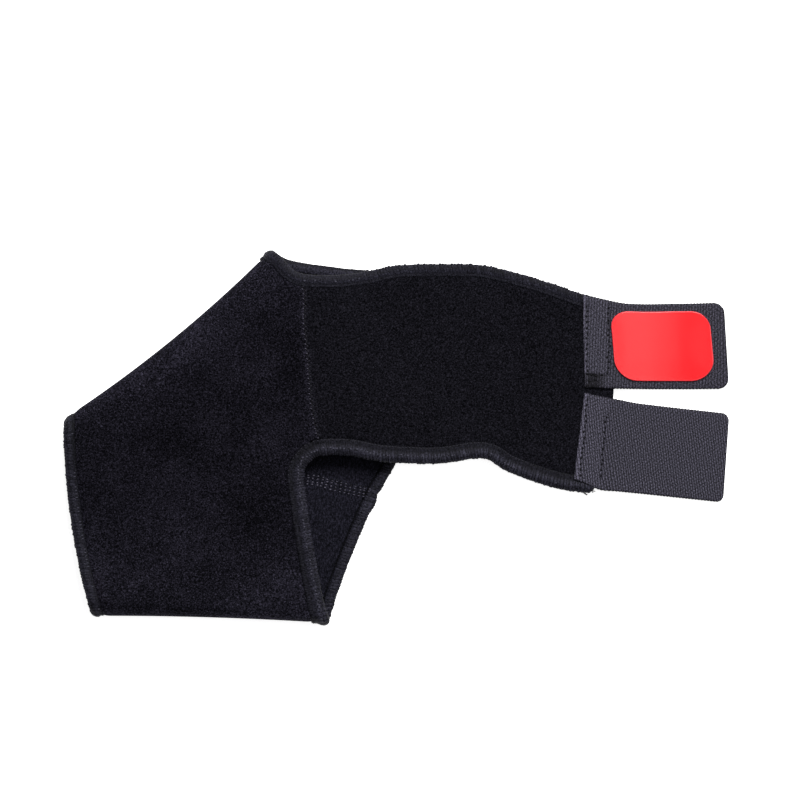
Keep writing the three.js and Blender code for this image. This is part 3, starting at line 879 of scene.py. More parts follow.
def notchShift(outer, even):
    # outward shift along the rim beside the inside seam, for the stations on the floor
    onFloor = outer[:, 2] <= edgeNotch["near"]
    away = np.where(onFloor, awayFrom(edgeNotch["place"], outer), np.inf)
    nearest = np.argmin(away)
    if away[nearest] > edgeNotch["near"]:
        return np.zeros(len(even))
    along = even - even[nearest]
    notch = edgeNotch["depth"] * bell((along - edgeNotch["away"]) / edgeNotch["reach"])
    reach = np.where(along < 0, edgeNotch["upReach"], edgeNotch["downReach"])
    return edgeNotch["bulge"] * bell(along / reach) - notch


def stretchedSection(width):
    # places of the section's points from 0 at the cloth to 1 at the rim, for each width
    rim = np.array(edging["section"])[:, 0]
    rollReach = edging["rollReach"]
    stretch = (width + edging["tuck"] - rollReach) / (edging["fullWidth"] + edging["tuck"] - rollReach)
    across = 1 - np.where(rim <= rollReach, rim, rollReach + (rim - rollReach) * stretch) / width
    return np.concatenate([across, across[:, ::-1]], 1)


def yarnTurns(even, around, atHeel, closed):
    # the number of turns, and for each point which turn it lies on and how far it is bowed out
    pitch = mix(edging["stitchMm"], edging["heelStitchMm"], atHeel)
    turns = np.cumsum((even[1] - even[0]) / pitch)
    if closed:
        turns = turns * round(turns[-1]) / turns[-1]
    stitches = round(turns[-1]) + (0 if closed else 3)
    wander = np.interp(turns, np.arange(stitches + 4), randomDraws.normal(0, edging["wander"], stitches + 4))
    wander = wander * smoothStep(0, 3, turns) * smoothStep(turns[-1], turns[-1] - 3, turns)
    phase = (turns + wander)[:, None] + edging["lean"] * around[None, :]
    bow = np.sqrt(np.maximum(0, 1 - (2 * (phase % 1) - 1) ** 2))
    return stitches, np.floor(phase).astype(int) % stitches, bow


def edgingRoll(inner, outer, normal, even, closed, look):
    rim, half, innerHalf, groove, tone, innerTone = np.array(edging["section"]).T
    rims = np.concatenate([rim, rim[::-1]])
    zones = {name: smoothStep(*ends, rims) for name, ends in yarnZones.items()}
    side = np.repeat([1, -1], len(rim))
    outside, inside = side > 0, side < 0
    width = lengthOf(outer - inner)[:, None]
    across = stretchedSection(width)
    around = 1 - side * rims / edging["fullWidth"]
    atHeel = bell(awayFrom(sleeve["heelSole"], outer) / edging["heelReach"])
    stitches, number, bow = yarnTurns(even, around, atHeel, closed)
    perTurn = lambda key: randomDraws.uniform(*edging[key], stitches)[number]
    fullness, proud = perTurn("fullness"), perTurn("proud")

    # Shape
    x, y = outer[:, :1], outer[:, 1:2]
    opening = look["smooth"] * smoothStep(legOpening["from"], legOpening["to"], x)
    deeper = 1 + edging["heelDeeper"] * atHeel[:, None]
    ridge = np.concatenate([groove, groove[::-1]]) * deeper * (bow * fullness - edging["sunk"])
    ridge = ridge * (1 - legOpening["ridge"] * opening)
    toEnd = np.full(len(even), np.inf) if closed else np.minimum(even, even[-1] - even)
    shift = notchShift(outer, even) - roundedOff(edging["endRadius"], toEnd)
    scallop = look["scallop"] * (1 - legOpening["scallop"] * opening)
    moved = scallop * (bow * proud - edging["rimSunk"]) + shift[:, None]
    out = smoothStep(*edging["rimShares"], across) * moved / width
    points = mix(inner[:, None], outer[:, None], (across + out)[..., None])
    rowCount, columnCount = points.shape[:2]
    steps = edging["fluffSteps"]
    tufts = randomDraws.uniform(-1, 1, (rowCount // steps + 1, columnCount))
    fluff = np.repeat(tufts, steps, axis=0)[:rowCount]
    rough = edging["borderRough"] * zones["rough"] * outside * fluff
    lift = side * (np.concatenate([half, innerHalf[::-1]]) + ridge) + rough
    points = points + normal[:, None] * lift[..., None]
    faces = gridFaces(rowCount, columnCount, closeRows=closed, closeColumns=True)
    if not closed:
        k = np.arange(len(rim) - 1)
        cap = np.stack([k, k + 1, columnCount - 2 - k, columnCount - 1 - k], -1)
        faces = np.concatenate([faces, cap, cap[:, ::-1] + (rowCount - 1) * columnCount])

    # Tone: the yarn's own unevenness, with painted highlights and painted shade
    tone = tone * mix(look["rim"], look["cloth"], smoothStep(*look["turn"], rim))
    tone = tone * np.where(rim > edging["borderFrom"], look["border"], 1)
    tone = tone * mix(1.0, look["edge"], zones["edge"][: len(rim)])
    tone = np.concatenate([tone, innerTone[::-1] * look["inner"]])
    barred = look["barred"] * smoothStep(*edging["alongBand"], x)
    (dark, crest), (barDark, barCrest) = edging["plainYarn"], edging["barredYarn"]
    yarn = perTurn("shine") * mix(dark + crest * bow, barDark + barCrest * bow**2, barred)
    yarn = mix(yarn, 1.0, legOpening["tone"] * opening)
    shaded = smoothStep(heelShade["from"], heelShade["to"], y) * outside * zones["shaded"] * (not closed)
    tones = tone * mix(edging["flatTone"], yarn, mix(edging["flatShare"], 1.0, zones["turned"]))
    tones = tones * (1 - heelShade["dull"] * shaded)
    tones = tones * (1 + legOpening["gapLight"] * opening * inside * zones["gap"])
    bare = zones["ragged"] * outside * look["ragged"] * randomDraws.uniform(0.0, 1.0, tones.shape)
    tones = tones * (1 - bare)
    fromCorner = awayFrom(heelCorner["place"], outer) / heelCorner["reach"]
    tones = tones * (1 - heelCorner["dull"] * bell(fromCorner))[:, None]
    atTip = smoothStep(heelTip["from"], heelTip["to"], y) * outside * (not closed)
    tones = tones * (1 + heelTip["lift"] * atTip) * (1 - heelTip["paintedRimShade"] * atTip * zones["tipRim"])
    atInstep = smoothStep(toeTop["from"], toeTop["to"], y) * closed
    tones = tones * (1 - atInstep * mix(toeTop["dull"], toeTop["dullBySleeve"], zones["bySleeve"]))
    tones = tones * (1 + edging["fluffTone"] * fluff * mix(look["fluff"], toeTop["fluff"], atInstep))
    uv = np.stack(np.broadcast_arrays(even[:, None], edging["fullWidth"] * around[None, :]), -1)
    lining = inside & (rims > edging["jerseyFrom"])
    return points.reshape(-1, 3), faces, uv.reshape(-1, 2), tones.ravel(), lining


def stitchTemplate(length, radius, dip, **others):
    # a short bowed thread along x, whose ends dive by dip
    along = np.linspace(-1, 1, 6)
    centre = np.stack([along * length / 2, 0 * along, -dip * along**2], -1)
    return tube(centre, (0, 1, 0), up, radius * np.sqrt(np.maximum(0.04, 1 - along**4)), sides=6)


def placeStitches(template, places, along, normal=up):
    # one copy of the template at each place, its x along the stitch and its z along the normal
    points, faces = template
    normal = np.broadcast_to(normal, along.shape)
    along = unit(along - normal * (along * normal).sum(-1, keepdims=True))
    axes = np.stack([along, np.cross(normal, along), normal], 1)
    copies = places[:, None] + np.einsum("vk,nkc->nvc", points, axes)
    starts = np.arange(len(places))[:, None, None] * len(points)
    return copies.reshape(-1, 3), (faces[None] + starts).reshape(-1, 4)


def alongEdge(even, pitch):
    count = round(even[-1] / pitch)
    return np.clip(((np.arange(count) + 0.5) / count * len(even)).astype(int), 2, len(even) - 3)


def makeEdging(name, node, inner, outer, normal, closed):
    look = edgingLooks[name]
    inner, outer, normal, even = evenStations(inner, outer, normal, closed)
    rollPoints, rollFaces, rollUv, rollTones, lining = edgingRoll(inner, outer, normal, even, closed, look)
    inward = unit(inner - outer)
    ahead = lambda line, picks: unit(line[picks + 2] - line[picks - 2])

    needle = needleStitches[look["needles"]]
    picks = alongEdge(even, needlePitchMm)
    picks = picks[randomDraws.uniform(0, 1, len(picks)) < needle["shown"](outer[picks, 1])]
    along = inward[picks] if look["needles"] == "across" else ahead(inner, picks)
    places = mix(inner[picks], outer[picks], needle["inward"]) + normal[picks] * needle["height"]
    needles = placeStitches(stitchTemplate(**needle), places, along, normal[picks])

    picks = alongEdge(even, looperChain["pitchMm"])
    shown = look["chain"] * mix(1.0, looperChain["onBand"], smoothStep(*edging["alongBand"], outer[picks, 0]))
    picks = picks[randomDraws.uniform(0, 1, len(picks)) < shown]
    each = (len(picks), 1)
    atHeel = smoothStep(*looperChain["heelTo"], outer[picks, 1:2])
    width = lengthOf(outer - inner)[picks, None]
    reach = mix(looperChain["heelRim"], looperChain["rim"], atHeel)
    reach = np.minimum(reach, looperChain["mostOfWidth"] * width)
    along = ahead(outer, picks) + inward[picks] * randomDraws.normal(0, looperChain["slant"], each)
    height = looperChain["height"] + randomDraws.uniform(*looperChain["sinks"], each)
    places = outer[picks] + inward[picks] * (reach + randomDraws.normal(0, looperChain["sway"], each))
    places = places + normal[picks] * height
    chain = placeStitches(stitchTemplate(**looperChain), places, along, normal[picks])

    points, faces = joinMeshes([(rollPoints, rollFaces), needles, chain])
    rollSlots = np.where(lining[rollFaces % len(lining)].all(1), 2, 0)
    slots = np.concatenate([rollSlots, np.repeat([needle["slot"], 3], [len(needles[1]), len(chain[1])])])
    stitchPoints = np.concatenate([needles[0], chain[0]])
    uv = np.concatenate([rollUv, stitchPoints[:, :2]])
    tones = np.concatenate([rollTones, np.ones(len(stitchPoints))])
    points = settle(points)
    points[:, 2] = np.maximum(points[:, 2], 0.0)
    piece = makePiece(name, points, faces, [edgeYarn, needleThread, jersey, looperThread], slots, uv, tones)
    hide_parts(node)
    return piece


def ringStations(run, endU, outerLine):
    half = sleeve["wall"] / 2
    inner = clothPoints(run, [endU], 0)[0]
    outward = clothPoints(run, [endU], half)[0] - clothPoints(run, [endU], -half)[0]
    return inner, outerLine(run)[0], unit(outward)


def toeLine(run):
    return ringPoints(run, lambda s: toePair(s)[0], lambda s: toePair(s)[0], 0)


def heelLine(run):
    return ringPoints(run, lambda s: upperEnd(s)[0], lambda s: lowerPair(s)[0], 0)


# The band's two edgings run in under the tabs: rows of the band where each cut starts and ends
bandEdgeEnds = {"start": 0.01, "topOuter": 9.25, "topInner": 9.35, "lowOuter": 9.56, "lowInner": 9.6}
dense = 400
denseFold = 60


def bandEdge(outerEnd, innerEnd, column, pair, steps):
    def middles(end):
        rows = np.linspace(bandEdgeEnds["start"], end, dense)
        return rows, bandPoints(rows, [column])[:, 0] + up * sleeve["wall"] / 2

    rows, middle = middles(outerEnd)
    outer = np.concatenate([pair(steps + rows)[0], middle[:, 2:]], -1)
    return middles(innerEnd)[1], outer, np.broadcast_to(up, outer.shape)


def joinStations(first, second):
    return [np.concatenate(pair) for pair in zip(first, second)]


def makeEdgings():
    toe = ringStations(fullRing(), 0.0, toeLine)
    pieces = [makeEdging("toeEdging", "toe_edging", *toe, closed=True)]
    heelRun = ringRun(
        (upperLayer, np.linspace(sleeve["seamFrom"], 0, dense)),
        (soleFold, np.linspace(90, 270, denseFold)[1:-1]),
        (lowerLayer, np.linspace(0, sleeve["flapCorner"], dense)),
    )
    low = bandEdge(bandEdgeEnds["lowOuter"], bandEdgeEnds["lowInner"], 0.0, heelPair, heelSteps)
    heel = joinStations([x[::-1] for x in low], ringStations(heelRun, 1.0, heelLine))
    pieces.append(makeEdging("heelEdging", "heel_edging", *heel, closed=False))
    legRun = ringRun(
        (lowerLayer, np.linspace(sleeve["flapCorner"] + sleeve["flapGap"], 1, dense)),
        (instepFold, np.linspace(-90, 90, denseFold)[1:-1]),
        (upperLayer, np.linspace(1, sleeve["seamTo"], dense)),
    )
    top = bandEdge(bandEdgeEnds["topOuter"], bandEdgeEnds["topInner"], 1.0, legPair, legSteps)
    leg = joinStations(ringStations(legRun, 1.0, heelLine), top)
    pieces.append(makeEdging("legEdging", "leg_edging", *leg, closed=False))
    return pieces


# Hook tabs
hookTab = {
    "thickness": 0.8,
    "edgeShare": 0.45,  # of the thickness, left at the cut edge
    "hookHeight": 0.55,
    "upperCorner": 5.3,
    "lowerCorner": 3.7,
    "ribMm": 1.6,
    "ribDepth": 0.03,
    "fray": 0.12,
    "alongSteps": 225,
    "acrossSteps": 60,
    "pressed": 0.6,  # how far the stitching presses the base into the pile
    "pressedTo": (17.0, 11.0),
    "overEdging": 0.55,  # and how far the edging under it raises it again
    "edgingFromBase": (6.0, 3.5),
    "edgingFromTop": (7.0, 4.0),
    "crownFrom": (-0.2, 0.8),  # distances from the edge where it is full, and where it is frayed
    "frayFrom": (1.0, 0.0),
    "grooveDepth": 0.12,  # of the stitching, and its reach
    "grooveReach": 0.7,
    # how much lighter the tape is, and the distances from its base or edge between which that sets in
    "baseLight": (0.22, 2.6, 1.4),
    "sewnLight": (0.07, 15.0, 12.0),
    "edgeLight": (-0.35, 0.5, 0.0),
    # painted shade along the stitching's pressed grooves
    "grooveLight": -0.08,
    "upperLight": -0.04,
    "paintedCornerShade": -0.36,  # painted shade in the upper tape's frayed lower corner by its base
    "cornerShadeFromLow": (8.2, 6.6),
    "cornerShadeFromBase": (14.0, 6.0),
}
upperTabRows = [
    ((93.4, 71.7), (94.4, 24.8), 3.3),
    ((104.0, 69.2), (104.0, 24.4), 3.3),
    ((113.0, 67.3), (113.0, 24.3), 2.65),
    ((120.0, 66.8), (120.0, 24.2), 1.75),
    ((128.0, 66.7), (128.0, 24.1), 0.85),
    ((138.0, 66.9), (138.6, 24.1), 0.2),
    ((147.0, 67.0), (148.2, 24.1), 0.0),
    ((164.2, 67.5), (166.8, 24.3), 0.0),
]
lowerTabRows = [
    ((94.3, 22.4), (89.0, -20.9), 3.3),
    ((99.0, 21.4), (94.6, -23.0), 3.3),
    ((106.5, 19.9), (102.2, -26.2), 3.3),
    ((113.0, 18.7), (110.0, -26.9), 2.9),
    ((120.0, 17.3), (117.0, -27.6), 1.7),
    ((128.0, 16.3), (125.0, -28.4), 0.5),
    ((138.0, 15.1), (135.2, -29.5), 0.0),
    ((166.9, 11.9), (163.8, -32.5), 0.0),
]


def stripLength(rows):
    return lengthOf(np.subtract(rows[-1][0], rows[0][0]))


def stripGrid(rows, places, columns, trims=(0, 0), corners=(0, 0, 0, 0)):
    # points of a strip's underside: places along it in millimetres from its base, columns across it
    # from 0 to 1, and the radii of its corners: top and low ones at the base, then at the end
    tops, lows, lifts = zip(*rows)
    x = mix(tops[0][0], tops[-1][0], places / stripLength(rows))
    shares = np.linspace(0, 1, 2 * dense)
    share = np.interp(x, splinePoint(tops, shares)[:, 0], shares)
    a, b = splinePoint(tops, share), splinePoint(lows, share)
    across = unit(b - a)
    fromBase, fromEnd = places - places[0], places[-1] - places
    a = a + across * (trims[0] + roundedOff(corners[0], fromBase) + roundedOff(corners[2], fromEnd))[:, None]
    b = b - across * (trims[1] + roundedOff(corners[1], fromBase) + roundedOff(corners[3], fromEnd))[:, None]
    plan = mix(a[:, None], b[:, None], np.asarray(columns)[None, :, None])
    z = np.broadcast_to(splineLift(lifts, share)[:, None, None], (*plan.shape[:2], 1))
    return np.concatenate([plan, z], -1)


def cornerPlaces(length, count, start, end):
    # places along a strip, gathered in its rounded corners
    turn = np.linspace(0, math.pi / 2, 9)
    first = start * (1 - np.cos(turn)) if start else np.array([0.0])
    final = length - end * (1 - np.cos(turn))[::-1] if end else np.array([length])
    return np.concatenate([first, np.linspace(first[-1], final[0], count)[1:-1], final])


def acrossStrip(grid, columns):
    # distance of each point of a strip from its top and its low edge
    width = awayFrom((0, 0), grid[:, -1] - grid[:, 0])[:, None]
    return columns[None, :] * width, (1 - columns)[None, :] * width


def sewnIn(points):
    # how far each point is drawn down by the tab stitching, from 0 to 1
    sewn = np.zeros(points.shape[:2])
    for start, end in np.array(tabStitching["rows"]):
        part = np.clip((points[..., :2] - start) @ (end - start) / ((end - start) ** 2).sum(), 0, 1)
        away = lengthOf(points[..., :2] - mix(start, end, part[..., None]))
        sewn = np.maximum(sewn, bell(away / hookTab["grooveReach"]))
    return sewn


def makeHookTab(name, node, rows, material, corner):
    isUpper = rows is upperTabRows
    length = stripLength(rows)
    places = cornerPlaces(length, hookTab["alongSteps"], 0, corner)
    columns = np.linspace(0, 1, hookTab["acrossSteps"])
    under = stripGrid(rows, places, columns, corners=(0, 0, corner, corner))
    topAway, lowAway = acrossStrip(under, columns)
    along = np.broadcast_to(places[:, None], under.shape[:2])
    byEdging = smoothStep(*hookTab["edgingFromBase"], along) * smoothStep(*hookTab["edgingFromTop"], topAway)
    under[..., 2] += hookTab["hookHeight"] - hookTab["pressed"] * smoothStep(*hookTab["pressedTo"], along)
    under[..., 2] += hookTab["overEdging"] * byEdging * isUpper
    edge = np.minimum(np.minimum(topAway, lowAway), np.minimum(along, length - along))
    crown = smoothStep(*hookTab["crownFrom"], edge)
    rib = np.cos(2 * math.pi * along / hookTab["ribMm"])
    sewn = sewnIn(under)
    top = under.copy()
    top[..., 2] += hookTab["thickness"] * mix(hookTab["edgeShare"], 1.0, crown)
    top[..., 2] += hookTab["ribDepth"] * rib * crown - hookTab["grooveDepth"] * sewn
    frayed = hookTab["fray"] * smoothStep(*hookTab["frayFrom"], edge)
    fray = frayed * rib * np.sign(columns - 0.5)[None, :]
    top[..., 1] -= fray
    under[..., 1] -= fray
    tone = 1 + hookTab["grooveLight"] * sewn
    for key, away in (("baseLight", along), ("sewnLight", along), ("edgeLight", edge)):
        light, start, end = hookTab[key]
        tone = tone + light * smoothStep(start, end, away)
    # painted shade in the upper tape's lower corner
    cornerShaded = smoothStep(*hookTab["cornerShadeFromLow"], lowAway) * smoothStep(*hookTab["cornerShadeFromBase"], along)
    tone = tone + isUpper * (hookTab["upperLight"] + hookTab["paintedCornerShade"] * cornerShaded)
    uv = np.stack([along, (topAway - lowAway) / 2], -1).reshape(-1, 2)
    points, faces = slab(top, under)[:2]
    piece = makePiece(name, points, faces, [material], uv=np.tile(uv, (2, 1)), tone=np.tile(tone.ravel(), 2))
    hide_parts(node)
    return piece


# Moulded hooks under the tabs
hookField = {
    "spacing": 1.7, "from": 17.0, "margin": 1.6, "columns": 25, "between": (0.04, 0.96), "cornerColumns": 3,
    "stagger": 0.4, "radius": 0.13, "bend": 0.2, "turn": 1.35 * math.pi, "root": 0.1, "swing": 0.5,
}


def hookTemplate():
    # a bent monofilament, cut so that it points down and back up
    turn = np.linspace(0, hookField["turn"], 6)
    bend = hookField["bend"]
    stem = hookTab["hookHeight"] - bend
    centre = np.stack([bend * (np.cos(turn) - 1), 0 * turn, -stem - bend * np.sin(turn)], -1)
    centre = np.concatenate([[[0, 0, hookField["root"]]], centre])
    aside = np.array([0.0, 1.0, 0.0])
    third = np.cross(unit(np.gradient(centre, axis=0)), aside)
    return tube(centre, aside, third, hookField["radius"], sides=4)


def makeHooks(name, rows):
    length = stripLength(rows)
    places = np.arange(hookField["from"], length - hookField["margin"], hookField["spacing"])
    columns = np.linspace(*hookField["between"], hookField["columns"])
    grid = stripGrid(rows, places, columns)
    grid[..., 2] += hookTab["hookHeight"]
    grid[::2, :, 1] += hookField["stagger"]
    number = np.arange(len(columns))
    byEdge = np.minimum(number, number[::-1]) < hookField["cornerColumns"]
    spots = grid[~((places > length - hookTab["upperCorner"])[:, None] & byEdge[None, :])]
    swing = randomDraws.uniform(-hookField["swing"], hookField["swing"], len(spots))
    angle = swing + math.pi * randomDraws.integers(0, 2, len(spots))
    along = np.stack([np.cos(angle), np.sin(angle), 0 * angle], -1)
    points, faces = placeStitches(hookTemplate(), spots, along)
    points[:, 2] = np.maximum(points[:, 2], 0.0)
    piece = makePiece(name, points, faces, [hookNylon])
    return piece


# Patch
tabPatch = {
    "thickness": 0.95,
    "base": 14.4,
    "end": 7.3,
    "top": 3.9,
    "low": 4.1,
    "corners": (9.0, 12.0, 9.6, 11.0),
    "lean": 1.4,  # how much further along the tab it sits on the low side, and the share of that at its end
    "endLean": 0.5,
    "crown": 0.18,
    "crownReach": 12.0,
    "edgeRadius": 0.3,
    "sunk": 0.05,
    # painted highlight along the patch's rim, and the distances from the edge where it sets in
    "rimLight": 0.22,
    "rimFrom": (0.8, 0.2),
    "alongSteps": 70,
    "acrossSteps": 60,
    "gathered": 105.0,  # three times its width, so that its rows gather close to the edges
}


def makePatch():
    length = stripLength(upperTabRows) - tabPatch["base"] - tabPatch["end"]
    close = np.array([0, 0.08, 0.25, 0.5, 0.8, 1.2])
    corners = tabPatch["corners"]
    inside = cornerPlaces(length, tabPatch["alongSteps"], max(corners[:2]), max(corners[2:]))
    places = np.unique(np.concatenate([inside, close, length - close])) + tabPatch["base"]
    columns = edgeSpacing(tabPatch["acrossSteps"], tabPatch["gathered"])
    under = stripGrid(upperTabRows, places, columns, (tabPatch["top"], tabPatch["low"]), corners)
    fromEnd = (places[-1] - places) / length
    leaning = mix(tabPatch["endLean"], 1.0, fromEnd)[:, None]
    under[..., 0] += tabPatch["lean"] * columns[None, :] * leaning
    under[..., 2] += hookTab["hookHeight"] + hookTab["thickness"] - tabPatch["sunk"]
    ends = np.minimum(places - places[0], places[-1] - places)[:, None]
    edge = np.minimum(np.minimum(*acrossStrip(under, columns)), ends)
    top = under.copy()
    top[..., 2] += tabPatch["thickness"] - roundedOff(tabPatch["edgeRadius"], edge)
    top[..., 2] += tabPatch["crown"] * smoothStep(0, tabPatch["crownReach"], edge)
    points, faces = slab(top, under)[:2]
    # painted highlight along the rim
    rim = np.tile(tabPatch["rimLight"] * smoothStep(*tabPatch["rimFrom"], edge).ravel(), 2)
    piece = makePiece("tabPatch", points, faces, [mouldedPvc()], tone=rim, facetAngle=50)
    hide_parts("tab_patch")
    return piece


# Seams and stitches
def spread(line, pitch, phase=0.5):
    # places at an even pitch along a line, the way it runs there, and the way to its left
    arc = arcOf(line)
    spots = np.arange(phase * pitch, arc[-1], pitch)
    places = np.stack([np.interp(spots, arc, line[:, k]) for k in range(3)], -1)
    ahead = unit(np.gradient(places, axis=0))
    return places, ahead, np.stack([-ahead[:, 1], ahead[:, 0], 0 * spots], -1)


frontSeam = {
    "pitchMm": 2.5, "halfWidth": 0.55, "dotSlant": 0.5, "legSunk": 0.08, "jitter": 0.12,
    "dot": {"length": 0.95, "radius": 0.27, "dip": 0.2},
    "leg": {"length": 1.9, "radius": 0.2, "dip": 0.1},
    "lifts": {1: 0.14, -1: -0.06},  # of the dots on the two sides
    "inset": 0.004,
}


def makeFrontSeam():
    # zigzag: a turn of thread stands up on each side by turns, and the legs between them sink into the pile;
    # the lower side's turns are drawn in the darker needle thread and the legs in a darker copy still, as
    # painted shade
    ends = (sleeve["seamFrom"] + frontSeam["inset"], sleeve["seamTo"] - frontSeam["inset"])
    run = ringRun((upperLayer, np.linspace(*ends, dense)))
    line = settle(clothPoints(run, [1.0], sleeve["wall"] / 2)[0])
    pitch, halfWidth = frontSeam["pitchMm"], frontSeam["halfWidth"]
    dots, legs = stitchTemplate(**frontSeam["dot"]), stitchTemplate(**frontSeam["leg"])
    parts = []
    for side, lift in frontSeam["lifts"].items():
        places, ahead, left = spread(line, pitch, 0.0 if side > 0 else 0.5)
        places = places + left * side * halfWidth + up * lift
        places[:, :2] += randomDraws.normal(0, frontSeam["jitter"], (len(places), 2))
        parts.append(placeStitches(dots, places, left + frontSeam["dotSlant"] * ahead))
    for side in (1, -1):
        places, ahead, left = spread(line, pitch, 0.25 if side > 0 else 0.75)
        along = ahead * pitch / 2 - left * side * 2 * halfWidth
        parts.append(placeStitches(legs, places - up * frontSeam["legSunk"], along))
    points, faces = joinMeshes(parts)
    slots = np.repeat([0, 1, 2, 2], [len(part[1]) for part in parts])
    piece = makePiece("frontSeam", points, faces, [seamThread, needleThread, shadedSunkThread], slots)
    return piece


insideSeam = {
    "line": [
        (-9.8, -28.4), (-15.5, -27.4), (-24.5, -25.6), (-33.0, -23.4), (-41.9, -21.2), (-80.0, -18.0),
        (-120.0, -20.0), (-152.0, -24.0),
    ],
    "rows": (2.1, 0.9, -0.7, -2.2),
    "pitchMm": 2.4,
    "length": 1.2,
    "radius": 0.4,
    "dip": 0.25,
    "slant": 0.25,
    "jitter": 0.14,
    "sinks": (-0.24, 0.12),
    "dimFrom": -33.0,  # from about here to the back edge the thread is darker
    "dimSpread": 4.0,
    "holeAside": 0.75,  # and the holes of its stitches show beside it
    "holeDip": 0.3,
}


def makeInsideSeam():
    # flatlocked seam that closes the foot tube: columns of four short stitches on the wearer's side
    line = splinePoint(insideSeam["line"], np.linspace(0, 1, dense))
    line = np.concatenate([line, np.full((dense, 1), sleeve["wall"])], -1)
    stitch = stitchTemplate(**insideSeam)
    hole = stitchTemplate(**{**insideSeam, "dip": insideSeam["holeDip"]})
    parts = []
    slots = []
    for offset in insideSeam["rows"]:
        places, ahead, left = spread(line, insideSeam["pitchMm"])
        count = len(places)
        places[:, :2] += randomDraws.normal(0, insideSeam["jitter"], (count, 2)) - left[:, :2] * offset
        places[:, 2] += randomDraws.uniform(*insideSeam["sinks"], count)
        along = ahead + insideSeam["slant"] * left
        parts.append(placeStitches(stitch, places, along))
        dimmed = places[:, 0] > insideSeam["dimFrom"] + randomDraws.normal(0, insideSeam["dimSpread"], count)
        slots.append(np.repeat(dimmed, len(stitch[1])))
        parts.append(placeStitches(hole, (places - left * insideSeam["holeAside"])[dimmed], along[dimmed]))
        slots.append(np.full(len(parts[-1][1]), 2))
    points, faces = joinMeshes(parts)
    threads = [flatlockThread, dimFlatlock, tackThread]
    piece = makePiece("insideSeam", points, faces, threads, np.concatenate(slots))
    return piece


tabStitching = {
    "pitchMm": 2.7,
    "length": 1.35,
    "radius": 0.44,
    "dip": 0.3,
    "jitter": 0.28,
    "height": 4.15,  # top of both tabs where they are sewn down
    # start and end of each row
    "rows": [
        ((95.3, 69.8), (96.0, 31.2)),
        ((106.7, 66.0), (106.1, 30.6)),
        ((96.6, 31.2), (105.6, 30.8)),
        ((95.6, 27.8), (99.8, 28.4)),
        ((94.9, 32.0), (101.4, 31.1)),
        ((96.0, 31.6), (102.2, 30.5)),
        ((95.0, 26.2), (101.0, 25.4)),
        ((95.9, 20.4), (92.2, -19.2)),
        ((105.2, 12.0), (102.4, -21.6)),
    ],
}
looseThreads = [
    {"points": [(92.6, -25.9, 2.2), (94.2, -27.6, 1.4), (95.8, -28.7, 0.6)], "radius": 0.34},
    {"points": [(98.2, -24.9, 2.6), (98.5, -26.4, 1.5), (98.7, -27.7, 0.5)], "radius": 0.2},
    {"points": [(97.0, -25.6, 2.6), (98.6, -26.6, 1.8), (99.8, -26.9, 0.8)], "radius": 0.2},
]


def threadTube(points, radius):
    line = splinePoint(points, np.linspace(0, 1, 14))
    ahead = unit(np.gradient(line, axis=0))
    aside = unit(np.cross(ahead, up))
    return tube(line, aside, np.cross(ahead, aside), radius, sides=6)


def makeTabStitches():
    stitch = stitchTemplate(**tabStitching)
    parts = []
    for row in tabStitching["rows"]:
        line = np.array([[*end, tabStitching["height"]] for end in row])
        places, ahead = spread(line, tabStitching["pitchMm"])[:2]
        places[:, :2] += randomDraws.normal(0, tabStitching["jitter"], (len(places), 2))
        parts.append(placeStitches(stitch, places, ahead))
    parts.extend(threadTube(**thread) for thread in looseThreads)
    piece = makePiece("tabStitches", *joinMeshes(parts), [tackThread])
    return piece


footPiece = makeFootSleeve()
bandPiece = makeAnkleBand()
print("cloth made")
toePiece, heelPiece, legPiece = makeEdgings()
print("edgings made")
ribbedTape = hookTapeWeave("ribbedHookTape", ribMm=1.4, floatMm=2.2, shear=0.05, waves=0.72, fuzzy=3.2)
dottedTape = hookTapeWeave("dottedHookTape", ribMm=1.27, floatMm=2.0, shear=-0.2, waves=0.95, fuzzy=3.0)
upperTab = makeHookTab("hookTabUpper", "hook_tab_upper", upperTabRows, ribbedTape, hookTab["upperCorner"])
lowerTab = makeHookTab("hookTabLower", "hook_tab_lower", lowerTabRows, dottedTape, hookTab["lowerCorner"])
upperHooks = makeHooks("hooksUpper", upperTabRows)
lowerHooks = makeHooks("hooksLower", lowerTabRows)
makePatch()
print("tabs made")
frontStitches = makeFrontSeam()
insideStitches = makeInsideSeam()
tabStitches = makeTabStitches()
print("seams made")


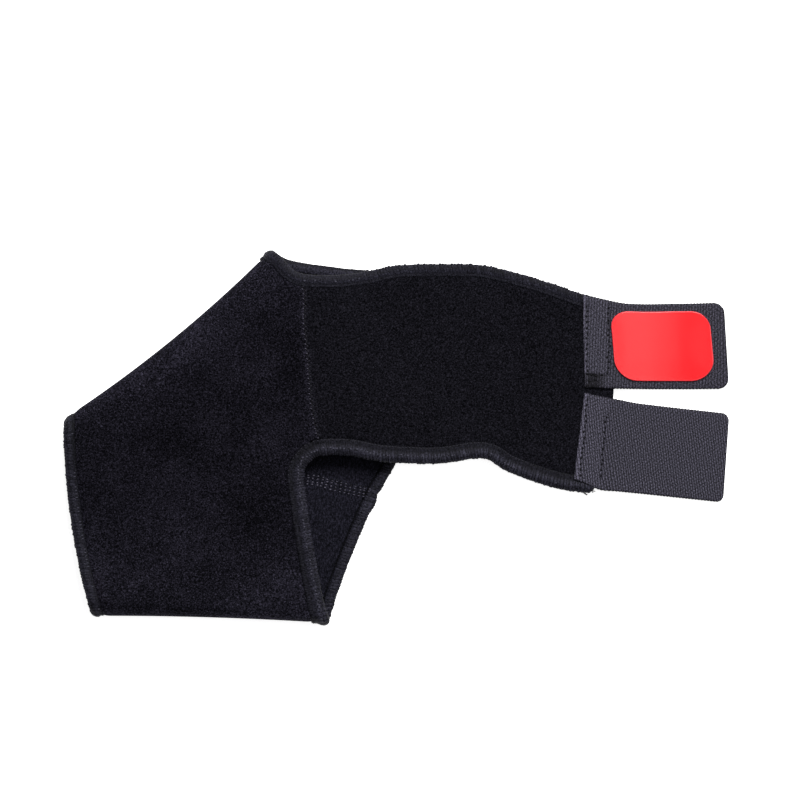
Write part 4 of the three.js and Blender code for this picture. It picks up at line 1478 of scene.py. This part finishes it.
# Floor, light and camera, in metres
studio = {
    "floor": "#fbfbfb",
    "floorHalf": 12.0,
    "floorHeight": -0.0003,
    "world": 0.28,
    "floorGlow": 0.8,  # a light table, so that the floor stays white beside the object
    "lamps": [
        {"name": "key", "watts": 55.0, "place": (0.4, 1.2, 1.45), "size": (0.9, 0.9)},
        {"name": "side", "watts": 1.8, "place": (0.68, 0.1, 1.6), "size": (0.45, 0.7)},
    ],
    "cameraHeight": 4.0,
    "viewCentre": (2.25, 18.75),  # millimetres
    "viewWidth": 0.4,
    "sensor": 36.0,
}


def addObject(name, data):
    thing = bpy.data.objects.new(name, data)
    bpy.context.scene.collection.objects.link(thing)
    return thing


def makeStudio():
    mesh = bpy.data.meshes.new("floor")
    half, height = studio["floorHalf"], studio["floorHeight"]
    corners = [(-half, -half, height), (half, -half, height), (half, half, height), (-half, half, height)]
    mesh.from_pydata(corners, [], [(0, 1, 2, 3)])
    floor = addObject("floor", mesh)
    board = bpy.data.materials.new("paleBoard")
    board.use_nodes = True
    values = {
        "Base Color": toLinear(studio["floor"]), "Roughness": 0.9, "Specular IOR Level": 0.0,
        "Emission Color": (1, 1, 1, 1), "Emission Strength": studio["floorGlow"],
    }
    for socket, value in values.items():
        board.node_tree.nodes["Principled BSDF"].inputs[socket].default_value = value
    mesh.materials.append(board)
    world = bpy.data.worlds.new("softStudio")
    world.use_nodes = True
    background = world.node_tree.nodes["Background"]
    background.inputs["Color"].default_value = (1, 1, 1, 1)
    background.inputs["Strength"].default_value = studio["world"]
    bpy.context.scene.world = world
    for row in studio["lamps"]:
        lamp = bpy.data.lights.new(row["name"], "AREA")
        lamp.energy = row["watts"]
        lamp.shape = "RECTANGLE"
        lamp.size, lamp.size_y = row["size"]
        light = addObject(row["name"], lamp)
        light.location = row["place"]
        light.rotation_euler = (-light.location).to_track_quat("-Z", "Y").to_euler()
        light.visible_camera = False


def makeCamera():
    data = bpy.data.cameras.new("camera")
    data.sensor_width = studio["sensor"]
    data.lens = studio["sensor"] * studio["cameraHeight"] / studio["viewWidth"]
    data.clip_end = 100.0
    camera = addObject("camera", data)
    x, y = studio["viewCentre"]
    camera.location = ((x + shiftX) * mm, (y + shiftY) * mm, studio["cameraHeight"])
    bpy.context.scene.camera = camera


makeStudio()
makeCamera()
bpy.context.scene.view_settings.view_transform = "Standard"
print("studio made")
